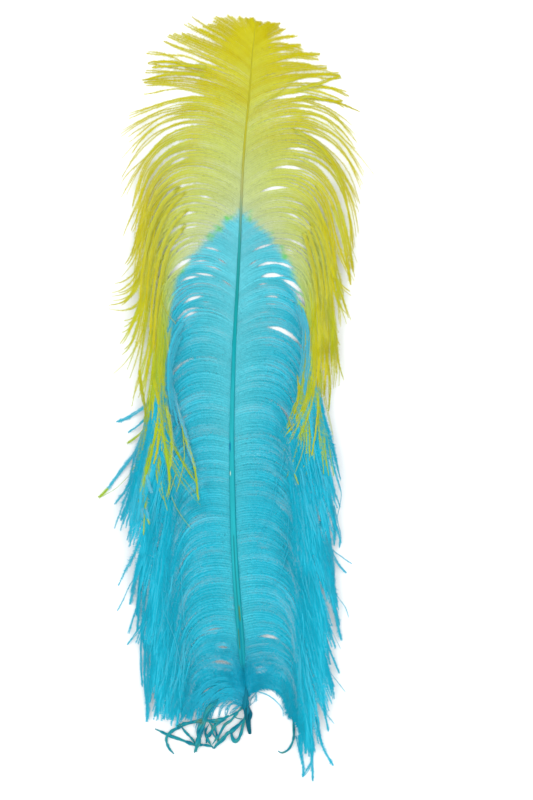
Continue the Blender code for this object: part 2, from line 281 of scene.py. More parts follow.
# Gaps on the plume: x and y of the middle, half the length, and the width
GAPS = {
    LEFT: (
        (-0.0655, 0.2596, 0.011, 0.0020), (-0.0701, 0.2062, 0.010, 0.0024),
        (-0.0655, 0.1878, 0.008, 0.0024), (-0.0563, 0.2210, 0.010, 0.0020),
        (-0.0480, 0.2016, 0.007, 0.0020), (-0.0582, 0.1474, 0.011, 0.0024),
        (-0.0425, 0.1418, 0.013, 0.0022), (-0.0324, 0.1152, 0.013, 0.0022),
        (-0.0471, 0.1124, 0.012, 0.0026), (-0.0140, 0.1271, 0.006, 0.0018),
        (-0.0526, 0.1271, 0.011, 0.0022), (-0.0453, 0.0811, 0.010, 0.0022),
        (-0.0453, 0.3120, 0.011, 0.0018), (-0.05908, 0.27248, 0.013, 0.0023),
        (-0.0618, 0.2476, 0.018, 0.0037), (-0.0287, 0.1860, 0.007, 0.0018),
        (-0.0517, 0.1704, 0.013, 0.0029), (-0.0490, 0.1575, 0.015, 0.0040),
        (-0.03148, 0.14736, 0.011, 0.0026), (-0.0250, 0.1400, 0.011, 0.0020),
        (-0.0361, 0.1280, 0.013, 0.0022), (-0.0241, 0.1216, 0.013, 0.0024),
        (-0.0112, 0.1069, 0.008, 0.0017), (-0.0407, 0.0958, 0.011, 0.0029),
        (-0.0287, 0.0912, 0.006, 0.0017), (-0.06460, 0.05812, 0.003, 0.0028),
        (-0.0241, -0.2105, 0.012, 0.0033), (-0.0158, -0.2400, 0.012, 0.0050),
        (-0.0140, -0.2262, 0.007, 0.0028), (-0.0071, -0.1820, 0.003, 0.0006),
        (-0.0066, -0.1912, 0.003, 0.0006), (-0.0582, -0.2298, 0.008, 0.0023),
        (-0.0839, -0.2179, 0.006, 0.0028), (-0.0131, -0.2823, 0.009, 0.0064),
        (-0.0388, -0.2887, 0.006, 0.0046), (-0.0315, -0.0642, 0.008, 0.0009),
        (-0.0407, -0.1102, 0.008, 0.0009), (-0.0269, -0.1526, 0.008, 0.0009),
    ),
    RIGHT: (
        (0.0559, 0.2302, 0.017, 0.0020), (0.0642, 0.2099, 0.013, 0.0020), (0.0421, 0.2154, 0.016, 0.0018),
        (0.0522, 0.1722, 0.013, 0.0022), (0.0467, 0.1860, 0.014, 0.0022), (0.0706, 0.1814, 0.006, 0.0026),
        (0.0265, 0.1271, 0.013, 0.0024), (0.0265, 0.1142, 0.011, 0.0022), (0.0210, 0.1409, 0.012, 0.0022),
        (0.0412, 0.1262, 0.009, 0.0026), (0.0210, 0.1069, 0.006, 0.0022), (0.0118, 0.1271, 0.006, 0.0018),
        (0.0614, 0.0866, 0.006, 0.0031), (0.0246, 0.0811, 0.006, 0.0018), (0.0311, 0.1970, 0.016, 0.0032),
        (0.0440, 0.2624, 0.010, 0.0018), (0.0403, 0.2798, 0.010, 0.0014), (0.0605, 0.1759, 0.008, 0.0018),
        (0.0440, 0.1400, 0.005, 0.0018), (0.0302, 0.1409, 0.004, 0.0011), (0.0302, 0.1156, 0.011, 0.0018),
        (0.0495, 0.1060, 0.014, 0.0042), (0.0587, 0.0940, 0.009, 0.0044), (0.0283, 0.0958, 0.009, 0.0020),
        (0.0302, 0.0885, 0.009, 0.0020), (0.0384, 0.0636, 0.017, 0.0026), (0.0559, 0.0609, 0.004, 0.0018),
        (0.0283, -0.2170, 0.012, 0.0039), (0.0532, -0.2206, 0.008, 0.0029),
        (0.0578, -0.2363, 0.007, 0.0037), (0.0568, -0.2510, 0.007, 0.0032),
        (0.0164, -0.2446, 0.007, 0.0022), (0.07432, -0.28504, 0.008, 0.0023),
        (0.0467, -0.0504, 0.008, 0.0011), (0.0403, -0.0964, 0.008, 0.0011),
        (0.0357, -0.1470, 0.008, 0.0009), (0.0210, -0.1351, 0.007, 0.0009),
    ),
}
SMALL_GAPS = 190
GAP_REACH, SMALL_GAP_REACH = 0.0035, 0.0025  # how far beside a gap the barbs still give way
GAP_ROOTS, GAP_ROOT_STEP = {LEFT: (0.002, 0.630), RIGHT: (0.002, 0.6165)}, 0.0005

# Ends that stand out from their neighbours: distance of the barb's root from the tip, and x and y of its
# end
ENDS = {
    LEFT: (
        (0.032, -0.0434, 0.3525), (0.037, -0.0490, 0.3461), (0.046, -0.0628, 0.3360),
        (0.050, -0.0683, 0.3300), (0.058, -0.0844, 0.3199), (0.066, -0.0851, 0.3047),
        (0.072, -0.0885, 0.2938), (0.075, -0.0862, 0.2890), (0.086, -0.1009, 0.2614),
        (0.092, -0.1081, 0.2449), (0.100, -0.1081, 0.2221), (0.108, -0.1078, 0.2044),
        (0.113, -0.1046, 0.1897), (0.119, -0.0979, 0.1777), (0.128, -0.0962, 0.1483),
        (0.152, -0.1023, 0.1271), (0.158, -0.1078, 0.1133), (0.168, -0.1134, 0.1014),
        (0.176, -0.1170, 0.0903), (0.181, -0.1198, 0.0839), (0.172, -0.1078, 0.0866),
        (0.178, -0.1032, 0.0719), (0.184, -0.1060, 0.0646), (0.188, -0.1081, 0.0517),
        (0.192, -0.1060, 0.0443), (0.197, -0.1158, 0.0241), (0.201, -0.1014, 0.0241),
        (0.206, -0.0922, 0.0158), (0.246, -0.0775, -0.0578), (0.254, -0.0430, -0.0716),
        (0.258, -0.0897, -0.0854), (0.262, -0.0376, -0.0909), (0.266, -0.0568, -0.0836),
        (0.270, -0.0660, -0.0872), (0.275, -0.0675, -0.0955),
    ),
    RIGHT: (
        (0.008, 0.0372, 0.3467), (0.024, 0.0521, 0.3348), (0.030, 0.0578, 0.3212),
        (0.040, 0.0728, 0.3141), (0.045, 0.0697, 0.3061), (0.050, 0.0838, 0.3019),
        (0.058, 0.0927, 0.2984), (0.068, 0.0999, 0.2796), (0.072, 0.0946, 0.2757),
        (0.076, 0.0962, 0.2688), (0.084, 0.1053, 0.2483), (0.090, 0.1070, 0.2378),
        (0.095, 0.1053, 0.2325), (0.100, 0.1238, 0.2074), (0.104, 0.1142, 0.2072),
        (0.109, 0.1123, 0.1964), (0.118, 0.1104, 0.1759), (0.130, 0.1088, 0.1520),
        (0.137, 0.1056, 0.1400), (0.146, 0.1084, 0.1262), (0.156, 0.1045, 0.1096),
        (0.163, 0.1019, 0.0986), (0.172, 0.0973, 0.0802), (0.190, 0.0909, 0.0554),
        (0.205, 0.0955, 0.0198), (0.211, 0.0878, 0.0124), (0.228, 0.0863, -0.0339),
        (0.234, 0.0504, -0.0256), (0.238, 0.0421, -0.0284), (0.243, 0.0406, -0.0348),
        (0.250, 0.0406, -0.0468), (0.258, 0.0667, -0.0504), (0.262, 0.0509, -0.0670),
    ),
}


def roots_of(side, rng):
    roots = [FIRST_BARB]
    while roots[-1] < LAST_BARB[side]:
        roots.append(roots[-1] + np.interp(roots[-1], *zip(*PITCH)) * rng.uniform(0.8, 1.2))
    return np.array(roots)


def gaps_of(side):
    """Each gap's root and distance along its barb, to the millimetre: the plain barb that passes nearest."""
    roots = np.arange(*GAP_ROOTS[side], GAP_ROOT_STEP)
    none = np.zeros(len(roots))
    x, y, along, _ = grow(side, roots, none + 1, none, none, none + 1)
    found = []
    for gap_x, gap_y, half, width in GAPS[side]:
        nearest = np.unravel_index(np.argmin(np.hypot(x - gap_x, y - gap_y)), x.shape)
        found.append((round(float(roots[nearest[0]]), 3), round(float(along[nearest]), 3), half, width))
    return found


def strands_of(roots, rng):
    """Which strand each barb belongs to: one to four barbs in each."""
    strand, number = np.zeros(len(roots), int), 0
    i = 0
    while i < len(roots):
        sizes = (0.30, 0.42, 0.22, 0.06) if roots[i] < 0.22 else (0.55, 0.35, 0.10, 0.0)
        size = rng.choice((1, 2, 3, 4), p=sizes)
        strand[i : i + size] = number
        number, i = number + 1, i + size
    return strand


def drift(roots, period, rng):
    """A value between about -1 and 1 that changes smoothly from barb to barb."""
    knots = np.arange(-period, SHAFT_LENGTH + 2 * period, period)
    return smooth_rows(np.stack([knots, rng.uniform(-1, 1, len(knots))], 1), roots, 1)


def gather(values, groups):
    """The mean of each group, given back to each of its members."""
    total = np.zeros((groups.max() + 1, values.shape[1]))
    np.add.at(total, groups, values)
    return (total / np.bincount(groups)[:, None])[groups]


def across_line(x, y):
    """The direction at right angles to each line, towards the tip side of a left barb."""
    dx, dy = np.gradient(x, axis=1), np.gradient(y, axis=1)
    size = np.hypot(dx, dy)
    return -dy / size, dx / size


# Barbs that cross lie packed within this depth below the top of the pile, whose height is kept in square
# cells
PACKED_DEPTH = 0.0003
CELL, PILE_CORNER, PILE_CELLS = 0.004, (0.16, 0.40), (80, 200)


def height_map(x, y, z):
    grid = np.zeros(PILE_CELLS)
    i, j = ((x + PILE_CORNER[0]) / CELL).astype(int), ((y + PILE_CORNER[1]) / CELL).astype(int)
    np.maximum.at(grid, (i, j), z)
    for _ in range(6):
        wide = np.pad(grid, 1, mode="edge")
        grid = (wide[:-2, 1:-1] + wide[2:, 1:-1] + wide[1:-1, :-2] + wide[1:-1, 2:] + 2 * grid) / 6
    return grid


def top_at(pile, x, y):
    u, v = (x + PILE_CORNER[0]) / CELL - 0.5, (y + PILE_CORNER[1]) / CELL - 0.5
    i, j = u.astype(int), v.astype(int)
    a, b = u - i, v - j
    return (
        pile[i, j] * (1 - a) * (1 - b)
        + pile[i + 1, j] * a * (1 - b)
        + pile[i, j + 1] * (1 - a) * b
        + pile[i + 1, j + 1] * a * b
    )


def vane(side, seed):
    rng = np.random.default_rng(seed)
    roots = roots_of(side, rng)
    n = len(roots)
    strand = strands_of(roots, rng)

    def by_strand(spread):
        return rng.normal(0, spread, strand.max() + 1)[strand]

    bend, turn, flick, stretch, lock = lock_values(side, roots)
    loose = ease(roots, 0.03, 0.13)
    lower = ease(roots, 0.28, 0.40)
    bend = bend * (1 + 0.05 * drift(roots, 0.040, rng))
    bend = bend * (1 + by_strand(0.02) + rng.normal(0, 1, n) * (0.012 + 0.010 * lower))
    turns = 2.5 * drift(roots, 0.022, rng) + by_strand(1.5) * (1 - 0.5 * lower) + rng.normal(0, 1, n)
    turn = turn + turns * loose
    flick = flick + (by_strand(1.0) * (4 - lower) + rng.normal(0, 1, n) * 2.5) * loose
    even = 1 - 0.6 * ease(roots, 0.46, 0.53)
    ragged = 1 + 1.6 * (1 - ease(roots, 0.015, 0.04))
    stretch = 1 + (stretch - 1 + by_strand(0.03) + rng.normal(0, 0.03, n) * ragged) * even
    x, y, along, drop = grow(side, roots, bend, turn, flick, stretch)
    share = along / along[:, -1:]
    length = along[:, -1:]

    # strands: neighbours close up from a third of the way on
    late = 0.30 * (1 - ease(roots, 0.040, 0.070))[:, None]
    matted = (0.50 - 0.50 * ease(roots, 0.16, 0.26))[:, None] * ease(share, 0.30 + late, 0.80 + late)
    sx, sy = gather(x, strand), gather(y, strand)
    x, y = x + (sx - x) * matted, y + (sy - y) * matted
    # locks close up less
    key = np.unique(lock, return_inverse=True)[1].reshape(-1)
    closing = (0.20 - 0.16 * ease(roots, 0.09, 0.16))[:, None]
    closing = closing * ease(share, 0.5, 1.0) * ease(length, 0.03, 0.10)
    lx, ly = gather(x, key), gather(y, key)
    x, y = x + (lx - x) * closing, y + (ly - y) * closing

    # each strand wanders, and each barb a little
    nx, ny = across_line(x, y)
    waves = by_strand(1.0)[:, None] * np.sin(share * by_strand(2.0)[:, None] * 2 + by_strand(3.0)[:, None])
    size, period, phase = (rng.normal(0, 1, n), rng.uniform(7, 16, n), rng.uniform(0, 6, n))
    own = size[:, None] * np.sin(share * period[:, None] + phase[:, None])
    own = own * (ease(along, 0.0, 0.02) + 1.5 * ease(share, 0.4, 0.7))
    shift = (0.0020 * waves * share**2 + 0.00030 * own) * ease(length, 0.02, 0.1)

    # gaps: the barbs on both sides of one part, and their fringes are short there
    fringes, thin = np.ones((2, n, BARB_POINTS)), np.zeros((n, BARB_POINTS))
    gaps = [(*gap, GAP_REACH) for gap in gaps_of(side)]
    for _ in range(SMALL_GAPS):
        where = 0.05 + 0.55 * rng.uniform(0, 1) ** 1.3
        at, half, width = rng.uniform(0.014, 0.085), rng.uniform(0.010, 0.030), rng.uniform(0.0001, 0.0005)
        gaps.append((where, at, half, width, SMALL_GAP_REACH))
    for where, at, half, width, reach in gaps:
        away = roots[:, None] - where
        opened = np.clip(1 - ((along - at) / half) ** 2, 0, 1) ** 1.2
        shift += -side * np.sign(away) * 0.5 * width * np.exp(-np.abs(away) / reach) * opened
        # painted light: beside a gap the fringe is painted paler, as if the floor's light showed through it
        thin = np.maximum(thin, (np.abs(away) < 0.0011) * opened * (1.0 if width > 0.0006 else 0.7))
        near = (np.abs(away) < 0.0032) * opened * min(width / 0.003, 1.0)
        fringes[0] *= 1 - 0.46 * near * (away > 0)
        fringes[1] *= 1 - 0.46 * near * (away < 0)
    x, y = x + nx * shift, y + ny * shift

    # ends that stand out
    used = set()
    for root, end_x, end_y in ENDS[side]:
        order = [i for i in np.argsort(np.abs(roots - root)) if strand[i] not in used]
        mine = strand == strand[order[0]]
        used.add(strand[order[0]])
        late_turn = share[mine] ** (3 if root < 0.12 else 8)
        x[mine] += (end_x - x[mine, -1].mean()) * late_turn
        y[mine] += (end_y - y[mine, -1].mean()) * late_turn

    # heights: a barb comes down from the shaft to the table, and climbs over those that hang below it
    highest = 0.13 * (LAST_LOCK + 0.024 - roots)[:, None]
    start = 1.5 * shaft_place(roots)[2][:, None]
    low = 0.0011 + 0.0001 * rng.uniform(0, 1, n)[:, None]
    z = start + (low - start) * ease(along, 0.0, 0.045) + highest * np.tanh(0.13 * drop / highest)
    z = z + by_strand(1.0)[:, None] * 0.0001 * ease(share, 0.3, 0.9)
    over_shaft = 0.0048 * (1 - ease(roots, 0.578, 0.600))[:, None]
    lifted = np.clip((along - over_shaft) / 0.001, 0, 1) * (1 - ease(along, 0.008, 0.030))
    z = z + 0.0038 * ease(roots, 0.574, 0.588)[:, None] * lifted
    pile = height_map(x, y, z)
    sunk = top_at(pile, x, y) - z
    z = z + sunk - PACKED_DEPTH * np.tanh(sunk / PACKED_DEPTH)
    z = np.maximum(z, 0.0006)
    return {
        "root": roots,
        "points": np.stack([x, y, z], axis=2),
        "along": along,
        "strand": strand,
        "fringes": fringes if side == RIGHT else fringes[::-1],
        "thin": thin,
        "seed": seed,
    }


vanes = {LEFT: vane(LEFT, 11), RIGHT: vane(RIGHT, 12)}
for side, made in vanes.items():
    print("side", side, "barbs", len(made["root"]))
    print("low", made["points"].min((0, 1)), "high", made["points"].max((0, 1)))

# %% [markdown]
# ## Barbs as meshes
#
# A hair system would be quick to set up, but it isn't a mesh and can't be exported. So each barb is a flat,
# four-sided thread, and each of its barbules is one slim triangle that stands on the thread and leans
# towards its end. A few numbers ride along with every point for the colour: where on its barb it is, how far
# out on a barbule, where the barb is rooted, how far the dye got, a chance number, and how much painted light
# of the floor seen through it the barb gets, mostly where barbs part. Each barb also gets its own strip of
# the UV map.

# %% The barb maker
BARBULE_PITCH = 0.00034
THREAD_RINGS, THREAD_SIDES = 20, 4
LEAN, TILT = 45, 4


def at_share(values, share):
    """Values along a line, read at shares of its length."""
    place = share * (len(values) - 1)
    i = np.minimum(place.astype(int), len(values) - 2)
    t = (place - i)[:, None] if values.ndim > 1 else place - i
    return values[i] * (1 - t) + values[i + 1] * t


def beside(line):
    """The direction of a line, and the level direction to its right."""
    ahead = np.gradient(line, axis=0)
    ahead /= np.linalg.norm(ahead, axis=1, keepdims=True)
    right = np.cross(ahead, (0, 0, 1.0))
    right /= np.linalg.norm(right, axis=1, keepdims=True)
    return ahead, right


def barb_mesh(barb, rng):
    """Vertices, faces, each vertex's distance along and across, and UVs.

    fringe holds the reach of both sides, and width how wide a barbule is for its pitch."""
    points, length, fringe, width = barb["points"], barb["along"][-1], barb["fringe"], barb["width"]
    # the thread: rings of a few points
    rings, sides = barb.get("rings", THREAD_RINGS), barb.get("sides", THREAD_SIDES)
    share = np.linspace(0, 1, rings)
    centre = at_share(points, share)
    ahead, right = beside(centre)
    up = np.cross(right, ahead)
    radius = at_share(barb["thread"], share)[:, None]
    flat = barb.get("flat", 0.5)
    angles = np.radians(45) + np.arange(sides) * 2 * np.pi / sides
    ring = [centre + radius * (math.cos(a) * right + flat * math.sin(a) * up) for a in angles]
    thread_verts = np.stack(ring, axis=1).reshape(-1, 3)
    k = np.arange(rings - 1)[:, None] * sides
    j = np.arange(sides)[None, :]
    a, b, c, d = k + j, k + (j + 1) % sides, k + sides + (j + 1) % sides, k + sides + j
    halves = np.stack([a, b, c], 2), np.stack([a, c, d], 2)
    thread_faces = np.concatenate([half_face.reshape(-1, 3) for half_face in halves])
    strip = np.tile((j + 0 * k).reshape(-1), 2)

    # the barbules: two base points on the thread and a tip on each side
    count = max(int(length / BARBULE_PITCH), 4)
    place = (np.arange(count) + 0.5) / count
    base = at_share(points, place)
    ahead, right = beside(base)
    half = 0.5 * BARBULE_PITCH * at_share(width, place)
    back, front = base - ahead * half[:, None], base + ahead * half[:, None]
    uneven = 0.35 + 0.65 * ease(place, 0.15, 0.45)
    tips = []
    for s, reach in zip((-1, 1), fringe):
        tufts = np.arange(0, count + 8, 7)
        tufted = np.interp(np.arange(count), tufts, rng.uniform(0.55, 1.08, len(tufts)))
        ragged = (1 - (1 - tufted) * uneven) * (1 - (1 - rng.uniform(0.55, 1.15, count)) * uneven)
        size = at_share(reach, place) * ragged / math.sin(math.radians(LEAN))
        angle = np.radians(LEAN + rng.normal(0, 1, count) * (7 + 8 * ease(place, 0.4, 0.7)))
        tilt = np.radians(rng.normal(-1, TILT, count))
        flat = (size * np.cos(tilt))[:, None]
        tip = base + flat * (ahead * np.cos(angle)[:, None] + s * right * np.sin(angle)[:, None])
        tip[:, 2] = np.maximum(tip[:, 2] + size * np.sin(tilt), 0.0003)
        tips.append(tip)
    i = np.arange(count) + len(thread_verts)
    left_faces = np.stack([i, i + 2 * count, i + count], 1)
    right_faces = np.stack([i, i + count, i + 3 * count], 1)
    verts = np.concatenate([thread_verts, back, front, *tips])
    faces = np.concatenate([thread_faces, left_faces, right_faces])
    shares = [np.repeat(share, sides), place - half / length, place + half / length, place, place]
    along = np.concatenate(shares) * length
    across = np.concatenate([np.zeros(len(thread_verts) + 2 * count), np.ones(2 * count)])

    # UV: the thread's faces are strips along the middle line, the barbules stand on both sides of them
    u_thread = share[thread_faces // sides]
    v_thread = np.zeros_like(u_thread)
    middle = len(thread_faces) // 2
    for h, order in ((slice(0, middle), (0, 1, 1)), (slice(middle, None), (0, 1, 0))):
        for corner in range(3):
            v_thread[h, corner] = -0.06 + 0.12 / sides * (strip[h] + order[corner])
    before, after = np.clip(place - half / length, 0, 1), np.clip(place + half / length, 0, 1)
    u_left = np.stack([before, place, after], 1)
    u_right = np.stack([before, after, place], 1)
    v_left = np.tile((-0.06, -0.46, -0.06), (count, 1))
    v_right = np.tile((0.06, 0.06, 0.46), (count, 1))
    u, v = np.concatenate([u_thread, u_left, u_right]), np.concatenate([v_thread, v_left, v_right])
    uv = np.stack([u, v], 2)
    return verts, faces, along, across, uv


def join_barbs(name, barbs, material):
    """One object from many barbs."""
    rng = np.random.default_rng(sum(map(ord, name)))
    parts = {key: [] for key in ("verts", "faces", "along", "across", "root", "dip", "tint", "thin", "uv")}
    start = 0
    for number, barb in enumerate(barbs):
        verts, faces, along, across, uv = barb_mesh(barb, rng)
        parts["verts"].append(verts)
        parts["faces"].append(faces + start)
        parts["along"].append(along + barb.get("start", 0))
        parts["across"].append(across)
        parts["root"].append(np.full(len(verts), barb["root"]))
        parts["dip"].append(np.interp(along, barb["along"], barb["dip"]))
        parts["tint"].append(np.full(len(verts), barb["tint"]))
        parts["thin"].append(np.interp(along, barb["along"], barb["thin"]))
        uv[:, :, 1] = (number + 0.5 + uv[:, :, 1]) / len(barbs)
        parts["uv"].append(uv)
        start += len(verts)
    whole = {key: np.concatenate(value) for key, value in parts.items()}
    verts, faces = whole["verts"], whole["faces"]
    mesh = bpy.data.meshes.new(name)
    mesh.vertices.add(len(verts))
    mesh.vertices.foreach_set("co", verts.astype(np.float32).ravel())
    mesh.loops.add(faces.size)
    mesh.loops.foreach_set("vertex_index", faces.astype(np.int32).ravel())
    mesh.polygons.add(len(faces))
    mesh.polygons.foreach_set("loop_start", np.arange(0, faces.size, 3, dtype=np.int32))
    mesh.update(calc_edges=True)
    mesh.shade_smooth()
    uv_map = mesh.uv_layers.new(name="OFBake")
    uv_map.uv.foreach_set("vector", whole["uv"].astype(np.float32).ravel())
    for key in ("along", "across", "root", "dip", "tint", "thin"):
        made = mesh.attributes.new(key, "FLOAT", "POINT")
        made.data.foreach_set("value", whole[key].astype(np.float32))
    mesh.materials.append(material)
    made = bpy.data.objects.new(name, mesh)
    bpy.context.scene.collection.objects.link(made)
    print(name, "barbs", len(barbs), "triangles", len(faces))
    return made


# %% [markdown]
# ## Dye
#
# The plume was dipped tip first in yellow and quill first in turquoise, so the line between the two crosses
# every barb at its own place. `DYE_LINE` says how far along a barb the turquoise reaches, for barbs at a
# distance from the tip. Past that line the yellow starts pale and grows strong towards the ends.

# %% How far each dye got
DYE_LINE = (
    (0.000, -0.172),
    (0.172, 0.000),
    (0.221, 0.040),
    (0.240, 0.059),
    (0.262, 0.078),
    (0.276, 0.098),
    (0.281, 0.150),
    (0.288, 0.240),
    (0.660, 0.900),
)


def dye_line(root):
    return np.interp(root, *zip(*DYE_LINE))


def link_or_set(tree, socket, value):
    if isinstance(value, (int, float, tuple)):
        socket.default_value = value
    else:
        tree.links.new(value, socket)


def ramp(tree, factor, stops, interpolation="LINEAR"):
    made = tree.nodes.new("ShaderNodeValToRGB")
    made.color_ramp.interpolation = interpolation
    elements = made.color_ramp.elements
    while len(elements) < len(stops):
        elements.new(0.5)
    for element, (place, colour) in zip(elements, stops):
        element.position = place
        element.color = colour
    tree.links.new(factor, made.inputs["Fac"])
    return made.outputs["Color"]


def scaled(tree, value, low, high, to_low=0.0, to_high=1.0):
    made = tree.nodes.new("ShaderNodeMapRange")
    for key, number in zip(("From Min", "From Max", "To Min", "To Max"), (low, high, to_low, to_high)):
        made.inputs[key].default_value = number
    tree.links.new(value, made.inputs["Value"])
    return made.outputs["Result"]


def maths(tree, operation, a, b):
    made = tree.nodes.new("ShaderNodeMath")
    made.operation = operation
    link_or_set(tree, made.inputs[0], a)
    link_or_set(tree, made.inputs[1], b)
    return made.outputs[0]


def both(tree, a, b):
    return maths(tree, "MULTIPLY", a, b)


def mixed(tree, factor, a, b):
    made = tree.nodes.new("ShaderNodeMix")
    made.data_type = "RGBA"
    link_or_set(tree, made.inputs[0], factor)
    link_or_set(tree, made.inputs[6], a)
    link_or_set(tree, made.inputs[7], b)
    return made.outputs[2]


def attribute(tree, name):
    made = tree.nodes.new("ShaderNodeAttribute")
    made.attribute_name = name
    return made.outputs["Fac"]


def noise(tree, scale, detail=2.0, distortion=0.0, stretch=(1, 1, 1)):
    place = tree.nodes.new("ShaderNodeTexCoord")
    turn = tree.nodes.new("ShaderNodeMapping")
    turn.inputs["Scale"].default_value = stretch
    made = tree.nodes.new("ShaderNodeTexNoise")
    made.inputs["Scale"].default_value = scale
    made.inputs["Detail"].default_value = detail
    made.inputs["Distortion"].default_value = distortion
    tree.links.new(place.outputs["Object"], turn.inputs["Vector"])
    tree.links.new(turn.outputs["Vector"], made.inputs["Vector"])
    return made.outputs["Fac"]


def brightened(tree, colour, value, saturation=1.0):
    made = tree.nodes.new("ShaderNodeHueSaturation")
    tree.links.new(colour, made.inputs["Color"])
    link_or_set(tree, made.inputs["Value"], value)
    link_or_set(tree, made.inputs["Saturation"], saturation)
    return made.outputs["Color"]


def fine_relief(tree, shader, height, strength, distance, shine):
    """The fine relief of a surface, and how much it shines."""
    bump = tree.nodes.new("ShaderNodeBump")
    bump.inputs["Strength"].default_value = strength
    bump.inputs["Distance"].default_value = distance
    tree.links.new(height, bump.inputs["Height"])
    tree.links.new(bump.outputs["Normal"], shader.inputs["Normal"])
    shader.inputs["Specular IOR Level"].default_value = shine


def new_material(name):
    made = bpy.data.materials.new(name)
    made.use_nodes = True
    return made, made.node_tree, made.node_tree.nodes["Principled BSDF"]


# %% The dyed barbs
BLACK, WHITE = (0, 0, 0, 1), (1, 1, 1, 1)


def barb_dye_and_painted_light():
    made, tree, shader = new_material("dyed barbs")
    dip, along, root = attribute(tree, "dip"), attribute(tree, "along"), attribute(tree, "root")
    tint, across = attribute(tree, "tint"), attribute(tree, "across")
    wet = maths(tree, "ADD", dip, scaled(tree, noise(tree, 70.0, 3.0), 0.3, 0.7, -0.002, 0.002))
    past = both(tree, scaled(tree, wet, 0.0, 0.18), scaled(tree, root, 0.13, 0.20, 1.0, 2.2))
    yellow = ramp(
        tree,
        past,
        (
            (0.00, linear(168, 184, 146)),
            (0.15, linear(172, 184, 128)),
            (0.38, linear(174, 184, 104)),
            (0.62, linear(178, 182, 84)),
            (1.00, linear(185, 177, 24)),
        ),
    )
    aged = both(tree, scaled(tree, root, 0.14, 0.24), scaled(tree, along, 0.07, 0.15))
    aged = maths(tree, "MAXIMUM", aged, scaled(tree, root, 0.23, 0.27))
    streaked = noise(tree, 60.0, 3.0, 0.0, (3, 0.3, 1))
    aged = both(tree, aged, scaled(tree, streaked, 0.40, 0.60, 0.25, 0.85))
    cloudy = scaled(tree, noise(tree, 34.0, 2.0), 0.5, 0.66, 0.0, 0.4)
    golden = maths(tree, "ADD", scaled(tree, tint, 0.3, 0.6, 0.55, 0.0), cloudy)
    golden = both(tree, golden, scaled(tree, wet, 0.05, 0.13))
    golden = both(tree, golden, scaled(tree, root, 0.20, 0.30, 1.0, 0.3))
    yellow = mixed(tree, golden, yellow, linear(180, 168, 14))
    yellow = mixed(tree, aged, yellow, linear(158, 176, 38))
    low = both(tree, scaled(tree, root, 0.225, 0.262, 0.0, 0.80), scaled(tree, along, 0.08, 0.14, 0.6, 1.0))
    yellow = mixed(tree, low, yellow, linear(146, 180, 52))
    # The yellow fringe is paler away from its thread: partly the fine barbules' own lighter tone, partly
    # painted light of the floor seen through them
    fringe_tone_and_painted_light = both(tree, scaled(tree, across, 0.3, 1.0, 0.0, 0.45), scaled(tree, along, 0.03, 0.07))
    yellow = mixed(tree, fringe_tone_and_painted_light, yellow, linear(150, 190, 122))
    depth = maths(
        tree, "ADD", scaled(tree, root, 0.17, 0.45, 0.0, 0.35), scaled(tree, along, 0.004, 0.11, 0.0, 0.65)
    )
    blue = ramp(
        tree,
        depth,
        (
            (0.00, linear(84, 174, 186)),
            (0.30, linear(54, 166, 182)),
            (0.45, linear(20, 160, 182)),
            (0.62, linear(5, 159, 183)),
            (0.82, linear(5, 163, 189)),
            (1.00, linear(12, 166, 192)),
        ),
    )
    # Painted light: the outer edge of each blue fringe is painted paler, most near the shaft, to lift the
    # shade that falls between barbs
    painted_light_edge = scaled(tree, across, 0.65, 1.0, 0.0, 0.34)
    tips = both(tree, painted_light_edge, scaled(tree, along, 0.045, 0.085, 1.0, 0.25))
    blue = mixed(tree, tips, blue, linear(146, 200, 208))
    base = both(tree, scaled(tree, root, 0.555, 0.600), scaled(tree, along, 0.0, 0.035, 1.0, 0.4))
    blue = mixed(tree, base, blue, linear(0, 138, 168))
    fading = both(tree, scaled(tree, wet, -0.016, 0.0), scaled(tree, along, 0.01, 0.05, 0.0, 0.35))
    blue = mixed(tree, fading, blue, linear(126, 184, 184))
    over = ramp(tree, scaled(tree, wet, -0.006, 0.006), ((0.0, BLACK), (1.0, WHITE)), "EASE")
    edge = ramp(tree, scaled(tree, wet, -0.007, 0.007), ((0.0, BLACK), (0.5, WHITE), (1.0, BLACK)), "EASE")
    colour = mixed(tree, over, blue, yellow)
    green = both(tree, edge, scaled(tree, noise(tree, 110.0, 1.0), 0.5, 0.72))
    colour = mixed(tree, green, colour, linear(95, 178, 85))
    # Painted light: beside gaps, and on some loose barbs, the fringe is painted paler, standing in for the
    # floor's light seen through it
    see_through_colour = mixed(tree, over, linear(168, 194, 202), linear(212, 220, 204))
    thin = both(tree, attribute(tree, "thin"), scaled(tree, across, 0.35, 0.95, 0.1, 0.95))
    colour = mixed(tree, thin, colour, see_through_colour)
    colour = brightened(tree, colour, scaled(tree, tint, 0.0, 1.0, 0.98, 1.16))
    # Blue threads are painted lighter, more on some barbs near the shaft: partly the paler thread itself,
    # partly painted light that offsets the shade along the threads and between barbs. Yellow threads stay
    # darker and richer.
    thread_tone_and_painted_light = both(tree, scaled(tree, tint, 0.35, 0.80, 0.0, 0.18), scaled(tree, along, 0.045, 0.085, 1.0, 0.15))
    pale = brightened(tree, colour, maths(tree, "ADD", thread_tone_and_painted_light, 1.03), 0.93)
    thread = mixed(tree, over, pale, brightened(tree, colour, 0.92, 1.15))
    colour = mixed(tree, scaled(tree, across, 0.0, 0.4), thread, colour)
    tree.links.new(colour, shader.inputs["Base Color"])
    tree.links.new(scaled(tree, noise(tree, 900.0, 2.0), 0.3, 0.7, 0.55, 0.75), shader.inputs["Roughness"])
    fine_relief(tree, shader, noise(tree, 2500.0, 1.0), 0.25, 0.0002, 0.04)
    return made


barb_dye_and_light = barb_dye_and_painted_light()
print(barb_dye_and_light.name, "nodes", len(barb_dye_and_light.node_tree.nodes))

